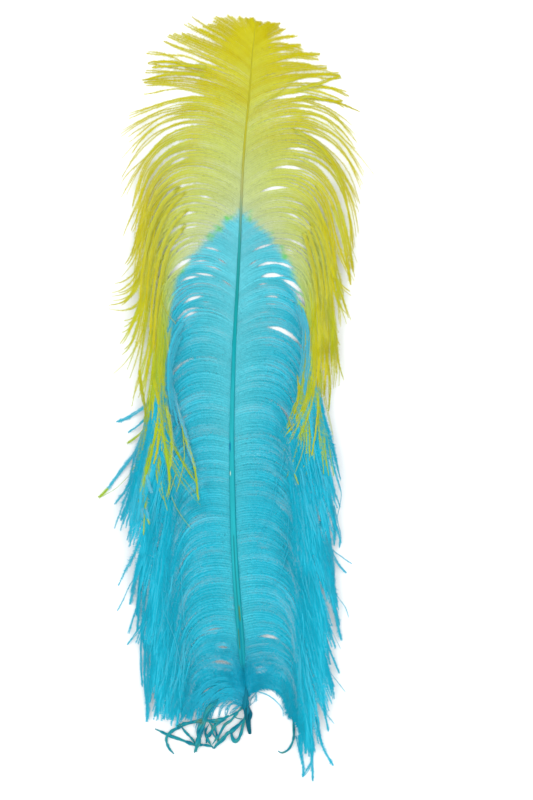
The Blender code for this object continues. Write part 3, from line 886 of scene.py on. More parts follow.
# %% [markdown]
# ## The vanes
#
# A barb's fringe is short where it leaves the shaft and widest a third of the way out. In the yellow part
# it clings to the strands towards the ends, and in the blue part it stays open and downy.

# %% Build the vanes
# Distance from the tip, and how far the fringe reaches near the ends of the barbs there
FRINGE_ENDS = (
    (0.00, 0.0031),
    (0.05, 0.0030),
    (0.07, 0.0022),
    (0.09, 0.0018),
    (0.14, 0.0018),
    (0.17, 0.0025),
    (0.28, 0.0024),
    (0.30, 0.0038),
    (0.64, 0.0040),
)


def fringe_of(side, root, along, fringes):
    """The reach of the fringe on both sides of a barb, in metres."""
    length = along[-1]
    share = along / length
    start = 0.0022 + 0.0004 * ease(root, 0.24, 0.28)
    widest = 0.0024 + 0.0009 * ease(root, 0.22, 0.36)
    end = np.interp(root, *zip(*FRINGE_ENDS))
    reach = start + (widest - start) * ease(along, 0.003, 0.025)
    reach = reach + (end - reach) * ease(share, 0.40, 0.70)
    reach = reach * (1 - (0.45 + 0.25 * ease(root, 0.05, 0.12)) * ease(share, 0.84, 1.0))
    sparse = 0.88 * ease(root, 0.609, 0.617) if side == LEFT else 0.0
    return reach * fringes * (1 + 0.6 * ease(root, 0.585, 0.600)) * (1 - sparse)


def width_of(root, along):
    """Wide barbules close the vane beside the shaft, where barbs lie one deep; further out they are fine."""
    fine = 1.0 - 0.5 * ease(root, 0.26, 0.32)
    return 2.2 + 0.6 * ease(root, 0.585, 0.600) - fine * ease(along / along[-1], 0.35, 0.60)


def thread_of(along):
    return 0.00026 - 0.00014 * ease(along / along[-1], 0.05, 1.0)


def barbs_of(side):
    made = vanes[side]
    rng = np.random.default_rng(made["seed"] + 50)
    n = len(made["strand"])
    tints = 0.5 + rng.normal(0, 0.12, made["strand"].max() + 1)[made["strand"]] + rng.normal(0, 0.10, n)
    tints = np.clip(tints + 0.15 * drift(made["root"], 0.012, rng), 0, 1)
    dips = rng.normal(0, 1, n) * (0.0012 + 0.010 * ease(made["root"], 0.255, 0.28))
    return [
        {
            "points": made["points"][i],
            "along": made["along"][i],
            "root": root,
            "dip": made["along"][i] - dye_line(root) + dips[i],
            "tint": tints[i],
            "thin": made["thin"][i],
            "fringe": fringe_of(side, root, made["along"][i], made["fringes"][:, i]),
            "width": width_of(root, made["along"][i]),
            "thread": thread_of(made["along"][i]),
        }
        for i, root in enumerate(made["root"])
    ]


PIECES = (("tip", 0.0, 0.20), ("upper", 0.20, 0.34), ("middle", 0.34, 0.48), ("lower", 0.48, 1.0))
dressed = []
for side, side_name in ((LEFT, "left"), (RIGHT, "right")):
    all_barbs = barbs_of(side)
    for part, first, last in PIECES:
        some = [barb for barb in all_barbs if first <= barb["root"] < last]
        dressed.append(join_barbs(f"{side_name}_{part}_barbs", some, barb_dye_and_light))

# %% [markdown]
# ## Loose barbs
#
# A few barbs have come away from their neighbours. Some cross the others in long curves, some stick out at
# the sides. They lie on top of the pile, so their height is read from a coarse map of how high the barbs
# reach. The ones that can be followed have routes of their own, and the strays are copies of barbs of the
# vane, bent aside. They are joined into one piece a side.

# %% Loose barbs
# Routes in millimetres; then the reach of the fringe and the thread's radius in millimetres, the share of
# its length from which it is yellow, and how much painted light, the floor seen through, lies on its fringe
NEVER = 9  # a share past the end, so the barb is blue all along
LOOSE_START = 0.08  # how far along its barb a loose part is taken to start
LOOSE_RINGS = 16
LOOSE_BARBS = (
    (((-75.6, 127.1), (-74.0, 104.4), (-69.8, 87.6), (-63.7, 76.8), (-57.9, 70.1)), 0.35, 0.35, 0, 0),
    (((-80.2, 0.2), (-87.6, -7.2), (-95.0, -11.8), (-103.2, -16.4), (-112.9, -19.9)), 2.3, 0.3, 9, 0.35),
    (((-83.9, -13.6), (-91.3, -21.9), (-102.3, -29.7)), 1.4, 0.3, 9, 0.3),
    (((-82.1, -9.0), (-85.8, -22.8), (-89.4, -29.3), (-95.9, -34.8), (-103.2, -40.1)), 1.5, 0.3, 0, 0.1),
    (((-83.9, -36.6), (-93.1, -44.9), (-98.9, -52.0), (-111.5, -68.8), (-121.9, -82.6),
      (-129.1, -89.6)), 2.4, 0.3, 0.86, 0.4),
    (((-80.2, -13.6), (-83.0, -27.4), (-85.9, -39.7), (-97.7, -64.2), (-113.5, -81.1),
      (-128.1, -89.4)), 0.35, 0.3, 0, 0),
    (((-89.4, -55.0), (-98.6, -71.6), (-106.0, -84.5), (-114.0, -95.7)), 2.3, 0.3, 9, 0.35),
    (((-95.0, -78.0), (-101.4, -94.6), (-107.8, -110.2)), 2.4, 0.3, 9, 0.3),
    (((-78.4, 2.0), (-84.8, -22.8), (-90.4, -45.8), (-95.0, -73.4), (-97.7, -101.0)), 3.2, 0.25, 9, 0.3),
    (((-80.2, -9.0), (-87.6, -32.0), (-93.1, -55.0), (-96.8, -82.6)), 3.0, 0.25, 9, 0.35),
    (((-82.1, -18.2), (-90.4, -36.6), (-96.8, -53.2), (-99.6, -75.3)), 2.8, 0.25, 9, 0.4),
    (((-76.6, -1.7), (-82.1, -36.6), (-87.6, -73.4), (-92.2, -110.2)), 3.4, 0.25, 9, 0.2),
    (((-82.1, -36.6), (-88.5, -59.6), (-94.0, -87.2), (-99.6, -114.8)), 3.0, 0.25, 9, 0.2),
    (((-87.6, -133.2), (-93.1, -154.4), (-96.8, -172.8), (-100.5, -187.5)), 3.0, 0.25, 9, 0.2),
    (((-82.1, -133.2), (-88.5, -156.2), (-92.2, -179.2), (-94.0, -197.6)), 3.0, 0.25, 9, 0.1),
    (((76.2, -62.4), (82.6, -87.2), (86.3, -110.2), (87.2, -133.2)), 3.2, 0.25, 9, 0.2),
    (((72.5, -82.6), (79.8, -110.2), (84.4, -137.8), (87.2, -160.8)), 3.2, 0.25, 9, 0.3),
    (((74.3, -110.2), (81.7, -137.8), (86.3, -165.4), (90.0, -188.4)), 3.2, 0.25, 9, 0.2),
    (((72.5, -128.6), (79.8, -156.2), (86.3, -183.8), (91.8, -206.8)), 3.0, 0.25, 9, 0.3),
    (((74.3, -148.9), (81.7, -174.6), (88.1, -197.6), (93.6, -220.6)), 2.8, 0.25, 9, 0.2),
    (((88.1, 186.0), (96.4, 161.2), (101.0, 138.2), (104.7, 117.9)), 2.6, 0.3, 0, 0),
    (((85.4, 179.6), (94.6, 152.0), (99.2, 127.1), (101.9, 106.0)), 2.6, 0.3, 0, 0),
    (((61.4, 161.2), (70.6, 133.6), (75.2, 101.4), (77.1, 64.6), (76.2, 27.8)), 3.2, 0.25, 0, 0),
    (((65.1, 163.9), (75.2, 136.3), (79.8, 101.4), (81.7, 64.6), (79.8, 23.2)), 3.2, 0.25, 0, 0),
    (((67.9, 165.8), (78.9, 138.2), (83.5, 106.0), (85.4, 69.2), (84.4, 35.1)), 3.0, 0.25, 0, 0),
    (((57.8, 158.4), (67.0, 127.1), (71.6, 92.2), (73.4, 55.4), (71.6, 9.4)), 3.0, 0.25, 0, 0),
    (((63.3, 152.0), (73.4, 119.8), (78.0, 83.0), (79.8, 46.2), (78.0, 4.8)), 2.6, 0.25, 0, 0),
    (((-47.1, 193.4), (-63.7, 176.8), (-74.7, 152.0), (-82.1, 119.8), (-85.8, 83.0)), 2.8, 0.25, 0, 0),
    (((-54.5, 197.0), (-71.0, 178.6), (-82.1, 151.0), (-88.5, 115.2), (-91.3, 78.4)), 2.8, 0.25, 0, 0),
    (((-45.3, 177.7), (-61.8, 159.3), (-72.9, 131.7), (-78.4, 99.5), (-81.2, 60.0)), 2.8, 0.25, 0, 0),
    (((-49.0, 162.1), (-63.7, 141.8), (-72.0, 110.6), (-76.6, 78.4), (-78.4, 46.2)), 2.6, 0.25, 0, 0),
    (((-82.1, -142.4), (-85.8, -170.0), (-87.6, -200.4), (-86.7, -229.8)), 3.2, 0.25, 9, 0),
    (((-85.8, -137.8), (-90.4, -165.4), (-92.2, -191.2), (-93.1, -211.4)), 3.0, 0.25, 9, 0),
    (((-80.2, -183.8), (-83.0, -220.6), (-83.9, -257.4), (-83.9, -292.4)), 3.0, 0.25, 9, 0.1),
    (((-78.4, -220.6), (-80.2, -250.1), (-82.1, -277.7)), 3.0, 0.25, 9, 0.1),
    (((-91.3, 27.8), (-88.5, 4.8), (-85.8, -13.6), (-86.7, -36.6)), 2.2, 0.3, 0, 0),
    (((-83.9, 2.0), (-75.6, -22.8), (-69.2, -33.9), (-60.0, -42.2), (-51.7, -56.9),
      (-43.4, -70.7)), 1.0, 0.3, 0, 0),
    (((-79.3, 27.8), (-74.7, 4.8), (-71.0, -16.4), (-72.9, -36.6), (-75.6, -50.4),
      (-77.9, -57.8)), 1.9, 0.3, 0, 0),
    (((-74.7, 2.0), (-70.1, -27.4), (-66.4, -47.7), (-63.7, -68.8), (-64.1, -79.9),
      (-66.4, -88.2)), 1.7, 0.3, 0, 0),
    (((-58.2, 2.0), (-52.6, -22.8), (-50.8, -38.5), (-50.3, -53.2), (-53.6, -71.6),
      (-57.2, -83.6)), 0.9, 0.3, 0, 0),
    (((-62.8, 18.6), (-56.3, -9.0), (-49.0, -33.0), (-45.3, -47.7), (-40.7, -62.4)), 2.4, 0.3, 9, 0.9),
    (((-51.7, -25.6), (-46.2, -44.0), (-40.7, -62.4), (-37.0, -91.8)), 1.5, 0.3, 0, 0),
    (((52.2, 92.2), (58.7, 69.2), (58.7, 46.2), (55.9, 14.0)), 2.5, 0.25, 9, 0.5),
    (((55.9, 87.6), (62.4, 64.6), (63.3, 37.0), (59.6, 4.8)), 2.5, 0.25, 9, 0.6),
    (((60.5, 75.6), (60.5, 50.8), (56.8, 23.2), (53.2, 4.8)), 0.6, 0.25, 0, 0),
    (((66.0, 73.8), (65.1, 46.2), (61.4, 18.6)), 0.7, 0.25, 0, 0.3),
    (((-48.0, 75.6), (-58.2, 60.0), (-63.7, 41.6), (-64.6, 14.0), (-61.8, -13.6)), 3.0, 0.2, 9, 0.35),
    (((-51.7, 64.6), (-59.1, 46.2), (-62.8, 25.9), (-60.9, 0.2), (-56.3, -22.8)), 3.0, 0.2, 9, 0.3),
    (((46.7, -133.2), (41.2, -148.9), (36.6, -162.7), (28.3, -174.6)), 0.6, 0.3, 9, 0),
    (((-72.9, -183.8), (-65.5, -200.4), (-58.2, -220.6), (-52.6, -246.4)), 0.5, 0.3, 9, 0.3),
    (((-72.9, -13.6), (-78.4, -40.3), (-82.1, -56.9), (-86.7, -73.4), (-90.4, -85.4)), 1.6, 0.3, 0, 0),
    (((-68.3, 0.2), (-63.7, -20.1), (-61.8, -41.2), (-62.8, -62.4)), 2.4, 0.3, 0.05, 0.5),
    (((-80.2, -16.4), (-84.8, -38.5), (-91.3, -53.2), (-100.5, -67.0)), 0.7, 0.3, 0, 0),
    (((-55.4, -60.6), (-60.0, -74.4), (-65.5, -90.9)), 0.6, 0.3, 0, 0),
    (((54.1, 25.9), (55.0, 14.0), (54.1, 0.2), (50.4, -11.8)), 1.3, 0.3, 0, 0),
    (((69.7, 25.9), (67.0, 9.4), (60.5, -8.1), (52.2, -20.1), (42.1, -33.0)), 1.0, 0.3, 0, 0),
    (((64.2, 25.9), (60.5, 0.2), (53.2, -16.4), (41.2, -33.9)), 0.9, 0.3, 0, 0),
    (((74.3, 25.9), (73.4, 0.2), (69.7, -27.4), (67.0, -45.8), (66.5, -50.4)), 1.3, 0.3, 0, 0),
    (((81.7, 32.4), (83.1, 9.4), (82.6, -10.0)), 1.4, 0.3, 0, 0),
    (((60.5, -4.4), (59.6, -36.6), (56.8, -51.4), (51.3, -66.1)), 0.5, 0.3, 0, 0.4),
    (((-75.6, -133.2), (-79.3, -160.8), (-81.2, -183.8), (-83.0, -209.6)), 3.0, 0.25, 9, 0),
    (((-86.7, -59.6), (-83.0, -73.4), (-80.2, -84.5)), 2.2, 0.25, 9, 0.9),
    (((-91.3, -90.0), (-89.4, -99.2), (-87.6, -106.6)), 2.2, 0.25, 9, 0.9),
    (((-87.6, -91.8), (-83.9, -102.9), (-82.1, -110.2)), 1.8, 0.25, 9, 0.8),
    (((-69.8, -163.6), (-65.5, -178.3), (-60.6, -183.8), (-54.5, -186.6)), 0.4, 0.25, 9, 0),
    (((-53.6, -147.0), (-52.2, -179.2), (-49.9, -205.0), (-43.7, -220.6), (-38.8, -243.6)), 0.5, 0.3, 9, 0),
    (((-65.5, -64.2), (-61.4, -88.8), (-54.5, -103.8), (-44.5, -117.6)), 0.4, 0.3, 0.45, 0),
    (((-66.4, -73.4), (-63.7, -96.4), (-58.2, -110.2), (-51.4, -121.0)), 0.5, 0.25, 9, 0),
    (((-91.3, -73.4), (-88.5, -94.6), (-84.8, -104.7), (-81.2, -113.0)), 1.2, 0.25, 0.9, 0),
    (((-83.9, -9.0), (-71.3, -29.0), (-60.9, -42.8), (-49.9, -59.6)), 0.45, 0.3, 0, 0),
    (((71.6, 127.1), (71.6, 98.6), (71.3, 86.0), (67.9, 71.0), (63.6, 56.9), (58.7, 47.5)), 0.45, 0.35, 0, 0),
    (((49.5, -60.6), (51.3, -68.8), (54.5, -77.1)), 1.1, 0.3, 0.4, 0),
    (((72.5, 14.0), (75.1, -2.6), (79.7, -27.4)), 1.4, 0.3, 9, 0),
    (((42.1, -41.2), (39.1, -61.2), (32.0, -80.8), (22.2, -93.4)), 0.45, 0.3, 9, 0),
    (((34.8, -64.2), (33.7, -82.6), (29.9, -101.0), (23.7, -116.7), (18.2, -125.9)), 0.6, 0.3, 9, 0),
    (((45.8, -101.0), (44.9, -121.0), (43.7, -133.2), (39.8, -144.0)), 0.5, 0.3, 9, 0),
    (((54.1, -59.6), (57.5, -75.0), (63.6, -88.8), (69.7, -98.0)), 0.5, 0.3, 9, 0),
    (((71.6, -105.6), (71.3, -125.6), (70.5, -140.6), (67.4, -148.6)), 0.6, 0.3, 9, 0),
    (((90.9, -73.4), (93.6, -84.5), (92.7, -94.6), (89.7, -107.2), (88.1, -111.8)), 0.6, 0.3, 9, 0),
    (((86.3, -96.4), (89.0, -113.0), (92.7, -125.6), (91.8, -135.5)), 1.4, 0.3, 9, 0),
    (((76.2, -124.0), (86.3, -137.8), (94.3, -144.0), (103.8, -150.7)), 0.9, 0.3, 9, 0),
    (((79.8, -128.6), (88.1, -145.2), (92.7, -153.2), (98.5, -159.0)), 1.3, 0.3, 9, 0),
    (((78.9, -160.8), (90.9, -180.8), (97.3, -190.0), (101.0, -200.1)), 0.7, 0.3, 9, 0),
    (((76.2, -193.0), (86.3, -214.2), (93.5, -228.9)), 0.4, 0.25, 9, 0),
    (((78.0, -216.0), (86.3, -237.2), (92.1, -251.0)), 1.8, 0.3, 9, 0),
    (((74.3, -234.4), (84.3, -250.5), (90.9, -259.3), (97.8, -268.5)), 0.7, 0.3, 9, 0),
    (((78.0, -239.0), (83.5, -260.2), (87.2, -274.0)), 1.2, 0.3, 9, 0),
    (((70.6, -289.6), (75.1, -312.6), (79.7, -324.6), (86.7, -335.9)), 2.2, 0.3, 9, 0),
    (((66.0, -308.0), (66.7, -332.6), (67.9, -350.4)), 2.0, 0.3, 9, 0),
    (((53.2, -308.0), (57.5, -328.0), (59.0, -338.4), (58.7, -346.7)), 2.2, 0.3, 9, 0),
    (((67.9, -317.2), (66.7, -331.0), (62.4, -340.2), (58.7, -345.8)), 1.2, 0.3, 9, 0),
    (((76.2, -266.6), (78.9, -286.9), (81.7, -304.4)), 1.6, 0.3, 9, 0),
    (((-84.8, -193.0), (-89.4, -220.6), (-90.4, -243.6), (-89.4, -263.0)), 1.6, 0.3, 9, 0),
    (((46.7, 250.4), (69.7, 237.5), (86.3, 218.2), (95.5, 193.4), (101.0, 165.8),
      (103.8, 138.2)), 1.8, 0.3, 0, 0),
    (((11.8, -264.8), (19.1, -268.2), (26.5, -271.2), (34.5, -277.4), (39.8, -284.1),
      (40.5, -290.6)), 1.0, 0.3, 9, 0),
    (((14.5, -264.8), (15.7, -271.2), (15.3, -277.7)), 1.0, 0.2, 9, 0),
    (((-85.8, -220.6), (-86.7, -249.8), (-85.9, -264.8), (-84.4, -280.4), (-84.7, -295.6)), 2.2, 0.3, 9, 0),
    (((-94.0, -160.8), (-100.5, -170.0), (-106.9, -183.8), (-112.2, -194.0)), 1.0, 0.3, 9, 0),
    (((-88.5, -170.0), (-91.3, -183.8), (-97.7, -200.4), (-101.4, -214.7)), 1.2, 0.3, 9, 0),
    (((-85.8, -200.4), (-91.3, -209.6), (-97.7, -217.9), (-103.0, -224.8)), 1.2, 0.3, 9, 0),
    (((48.6, 282.6), (58.7, 287.2), (76.2, 292.3), (92.7, 298.2)), 2.0, 0.35, 0, 0),
    (((52.2, 278.0), (65.1, 278.9), (79.8, 276.2), (94.6, 274.8)), 1.8, 0.35, 0, 0),
    (((-25.0, 304.7), (-36.1, 306.5), (-58.2, 307.4), (-80.2, 305.6)), 2.0, 0.35, 0, 0),
    (((-26.9, 297.8), (-40.7, 299.6), (-63.7, 299.2), (-85.8, 294.6)), 2.0, 0.35, 0, 0),
    (((8.5, 265.1), (17.3, 270.6), (36.0, 282.3), (52.9, 295.2), (64.2, 299.6)), 0.9, 0.35, 0, 0),
)
everything = np.concatenate([made["points"].reshape(-1, 3) for made in vanes.values()])
pile = height_map(*everything.T)


def along_route(route, count):
    """Evenly spaced points on a smooth line through a route in millimetres, and the distance along it."""
    marks = np.array(route) / 1000
    chord = np.concatenate([[0], np.cumsum(np.linalg.norm(np.diff(marks, axis=0), axis=1))])
    rows = np.column_stack([chord, marks])
    fine = np.linspace(0, chord[-1], 400)
    x, y = smooth_rows(rows, fine, 1), smooth_rows(rows, fine, 2)
    gone = np.concatenate([[0], np.cumsum(np.hypot(np.diff(x), np.diff(y)))])
    along = np.linspace(0, gone[-1], count)
    return np.interp(along, gone, x), np.interp(along, gone, y), along


def loose_barb(route, reach, radius, yellow_from, thin, tint):
    x, y, along = along_route(route, BARB_POINTS)
    share = along / along[-1]
    z = np.maximum(top_at(pile, x, y) + 0.0012 - 0.0030 * (1 - ease(along, 0, 0.01)), 0.0009)
    fringe = reach / 1000 * (0.6 + 0.4 * ease(share, 0, 0.3)) * (1 - 0.6 * ease(share, 0.92, 1.0))
    return {
        "points": np.column_stack([x, y, z]),
        "along": along,
        "start": LOOSE_START,
        "root": np.clip(TIP_ALONG - y[0] - LOOSE_START, 0.02, 0.60),
        "dip": (share - yellow_from) * 0.4 + 0.012 if yellow_from else 0.10 + 0.08 * share,
        "tint": tint,
        "thin": thin + 0 * along,
        "fringe": np.stack([fringe, fringe]),
        "width": 1.5 + 0 * along,
        "thread": radius / 1000 * (1 - 0.4 * share),
        "rings": LOOSE_RINGS,
    }


def knotty(barb, rng):
    """A fringe that is tufted and clings here and there."""
    knots = rng.uniform(0.35, 1.0, (2, 24))
    share = np.linspace(0, 1, 24)
    place = barb["along"] / barb["along"][-1]
    barb["fringe"] = barb["fringe"] * np.stack([np.interp(place, share, k) for k in knots])
    return barb


def loose_lock(route, reach, radius, yellow_from, thin, tint):
    """A wide loose end is three barbs side by side that meet at their tips."""
    if reach < 1.2:
        return [loose_barb(route, reach, radius, yellow_from, thin, tint)]
    marks = np.array(route)
    ahead = np.gradient(marks, axis=0)
    beside_it = np.column_stack([ahead[:, 1], -ahead[:, 0]]) / np.linalg.norm(ahead, axis=1)[:, None]
    spread = np.linspace(1.0, 0.25, len(marks))[:, None]
    barbs = []
    for offset in (-1.0, 0.0, 1.0):
        own = offset * spread + loose_rng.normal(0, 0.35, (len(marks), 1))
        own_route, own_tint = marks + own * beside_it, tint + 0.12 * offset
        barb = loose_barb(own_route, reach * 1.15, radius, yellow_from, thin, own_tint)
        barbs.append(knotty(barb, loose_rng))
    return barbs


# Rows of strays: the roots that they come from, how many a side, where on the barb they start, how much of
# the rest is kept, and how far their ends are pushed aside with the spread of that
STRAYS = (
    (0.120, 0.235, 26, 0.25, 0.45, 0.65, 0.95, 0.0, 0.003),
    (0.235, 0.268, 7, 0.42, 0.60, 0.70, 0.95, -0.010, 0.006),
    (0.300, 0.575, 48, 0.42, 0.62, 0.55, 0.95, -0.001, 0.008),
)


def stray_barb(made, side, i, start, keep, aside, rng):
    """The hanging part of a barb, copied on top of the pile and bent aside."""
    first = int(BARB_POINTS * start)
    x, y, _ = made["points"][i, first:].T
    share = np.linspace(0, 1, len(x))
    x = x + side * aside * share**1.5 + 0.0015 * np.sin(share * 6 + rng.uniform(0, 6))
    route = np.column_stack([x, y])[: int(len(x) * keep) : 6] * 1000
    reach, thin, tint = rng.uniform(1.6, 3.2), rng.choice((0.0, 0.0, 0.30)), rng.uniform(0.3, 0.9)
    barb = loose_barb(route, reach, 0.20, NEVER, thin, tint)
    barb["points"][:, 2] -= 0.0006
    barb["root"], barb["start"] = made["root"][i], made["along"][i, first]
    barb["dip"] = barb["along"] + barb["start"] - dye_line(barb["root"])
    return knotty(barb, rng)


loose_rng = np.random.default_rng(31)
loose = {LEFT: [], RIGHT: []}
for row in LOOSE_BARBS:
    loose[LEFT if row[0][0][0] < 0 else RIGHT] += loose_lock(*row, 0.5)
for side, made in vanes.items():
    for low, high, count, *spans, aside, spread in STRAYS:
        hanging = np.flatnonzero((made["root"] > low) & (made["root"] < high))
        for i in loose_rng.choice(hanging, min(count, len(hanging)), replace=False):
            start, keep = loose_rng.uniform(*spans[:2]), loose_rng.uniform(*spans[2:])
            pushed = loose_rng.normal(aside, spread)
            loose[side].append(stray_barb(made, side, i, start, keep, pushed, loose_rng))
dressed.append(join_barbs("left_loose_barbs", loose[LEFT], barb_dye_and_light))
dressed.append(join_barbs("right_loose_barbs", loose[RIGHT], barb_dye_and_light))

# %% [markdown]
# ## Down and wet strands at the quill
#
# Round the quill the barbs are short and downy, with long soft barbules. Below them a few barbs have got
# wet, and dried into twisted, knotty strands. A wet strand is made of three barbs that wind round each
# other, with thick threads and a fringe that clings to them.

# %% Down at the quill
QUILL_ROOT = 0.60  # down and wet strands are all rooted about here
DOWN_COPIES, DOWN_SPREAD, DOWN_REACH = 3, 1.3, 0.26  # barbs a route, how far apart in mm, share of the reach

# Routes in millimetres, and how far the barbules would reach with no neighbours
DOWN = (
    (((6.2, -264.8), (-1.1, -258.4), (-12.2, -255.6), (-24.1, -258.4), (-33.3, -266.6), (-40.7, -278.6),
      (-45.3, -292.4)), 5.0),
    (((6.2, -269.4), (-1.1, -263.0), (-11.2, -260.2), (-21.4, -263.0), (-30.6, -271.2), (-36.1, -283.2),
      (-38.8, -294.2)), 6.0),
    (((6.2, -274.0), (-0.2, -266.6), (-9.4, -264.8), (-18.6, -268.5), (-26.0, -276.8), (-30.6, -286.0),
      (-32.4, -294.2)), 6.5),
    (((6.2, -277.7), (0.7, -270.3), (-7.6, -268.5), (-15.8, -273.1), (-22.3, -280.4), (-25.0, -287.8),
      (-26.0, -294.2)), 6.5),
    (((6.2, -280.4), (1.6, -274.0), (-5.7, -273.1), (-12.2, -277.7), (-16.8, -284.1), (-19.5, -292.4)), 6.0),
    (((6.2, -283.2), (1.6, -277.7), (-3.9, -277.7), (-9.4, -282.3), (-12.2, -287.8), (-13.1, -292.4)), 5.0),
    (((5.3, -286.0), (1.6, -281.4), (-2.0, -281.4), (-5.7, -285.0), (-7.6, -289.6)), 4.0),
    (((-31.5, -266.6), (-39.8, -272.2), (-47.1, -280.4), (-52.6, -288.7), (-55.4, -295.2)), 5.0),
    (((-22.3, -261.1), (-33.3, -264.8), (-43.4, -273.1), (-50.8, -283.2), (-55.4, -293.3)), 5.0),
    (((-12.2, -257.4), (-28.7, -261.1), (-42.5, -269.4), (-54.5, -281.4), (-60.9, -293.3)), 4.0),
    (((-36.1, -270.3), (-43.4, -275.8), (-49.0, -284.1), (-51.7, -290.6), (-53.6, -296.1)), 4.0),
    (((9.0, -274.9), (14.5, -267.6), (21.9, -263.0), (29.2, -262.0), (35.7, -265.7), (41.2, -274.0),
      (44.0, -282.3)), 2.2),
    (((9.0, -281.4), (11.8, -274.9), (15.4, -272.2), (15.9, -277.7)), 2.0),
    (((6.2, -266.6), (-3.0, -258.4), (-15.8, -255.6), (-28.7, -261.1), (-38.8, -271.2), (-45.3, -283.2),
      (-49.0, -293.3)), 6.0),
    (((6.2, -271.2), (-0.2, -264.8), (-10.3, -261.1), (-21.4, -264.8), (-30.6, -274.0), (-35.2, -285.0),
      (-37.9, -293.3)), 6.0),
    (((6.2, -275.8), (-0.2, -268.5), (-9.4, -266.6), (-19.5, -270.3), (-27.8, -278.6), (-31.5, -287.8),
      (-33.3, -294.2)), 6.0),
    (((6.2, -279.5), (0.7, -273.1), (-7.6, -271.2), (-15.8, -275.8), (-22.3, -283.2), (-25.0, -290.6)), 6.0),
    (((-15.8, -264.8), (-26.9, -270.3), (-36.1, -278.6), (-42.5, -287.8), (-45.3, -295.2)), 5.0),
    (((-10.3, -261.1), (-23.2, -264.8), (-34.2, -273.1), (-41.6, -283.2), (-47.1, -294.2)), 5.0),
    (((-6.6, -266.6), (-15.8, -270.3), (-25.0, -278.6), (-29.6, -286.9), (-31.5, -294.2)), 5.0),
    (((-25.0, -266.6), (-36.1, -274.9), (-44.4, -284.1), (-49.0, -294.2)), 5.0),
)


down_rng = np.random.default_rng(41)


def down_barb(route, reach, tint):
    barb = loose_barb(route, reach, 0.12, NEVER, 0.0, tint)
    share = barb["along"] / barb["along"][-1]
    barb["root"] = QUILL_ROOT
    barb["fringe"] = barb["fringe"] * (1 - 0.55 * ease(share, 0.55, 1.0))
    barb["width"] = 1.4 + 0 * share
    barb["points"][:, 2] = np.maximum(barb["points"][:, 2] - 0.0010, 0.0009)
    return barb


down = []
for route, reach in DOWN:
    for _ in range(DOWN_COPIES):
        own_route = np.array(route) + down_rng.normal(0, DOWN_SPREAD, (len(route), 2))
        down.append(down_barb(own_route, DOWN_REACH * reach, down_rng.uniform(-0.6, 0.8)))
dressed.append(join_barbs("down_barbs", down, barb_dye_and_light))

# %% The wet finish
def wet_barbs():
    made, tree, shader = new_material("wet barbs")
    tint = attribute(tree, "tint")
    blotch = maths(tree, "ADD", noise(tree, 160.0, 3.0), scaled(tree, tint, 0.0, 1.0, -0.12, 0.12))
    colour = ramp(
        tree,
        blotch,
        (
            (0.30, linear(4, 104, 128)),
            (0.45, linear(14, 134, 148)),
            (0.60, linear(44, 148, 150)),
            (0.72, linear(84, 122, 104)),
        ),
    )
    specks = scaled(tree, noise(tree, 700.0, 2.0), 0.35, 0.70, 0.0, 0.5)
    colour = mixed(tree, specks, colour, linear(12, 104, 126))
    dark = attribute(tree, "dip")
    colour = mixed(tree, scaled(tree, dark, 0.0, 1.0), colour, linear(0, 110, 132))
    colour = mixed(tree, scaled(tree, dark, 1.0, 2.0), colour, linear(0, 84, 100))
    tree.links.new(colour, shader.inputs["Base Color"])
    tree.links.new(scaled(tree, noise(tree, 500.0, 2.0), 0.3, 0.7, 0.28, 0.50), shader.inputs["Roughness"])
    fine_relief(tree, shader, noise(tree, 1400.0, 2.0), 0.4, 0.0003, 0.1)
    return made


# %% Wet strands
WOUND, WET_RINGS, WET_SIDES = 3, 60, 8  # barbs in a strand, and the rings and sides of their threads

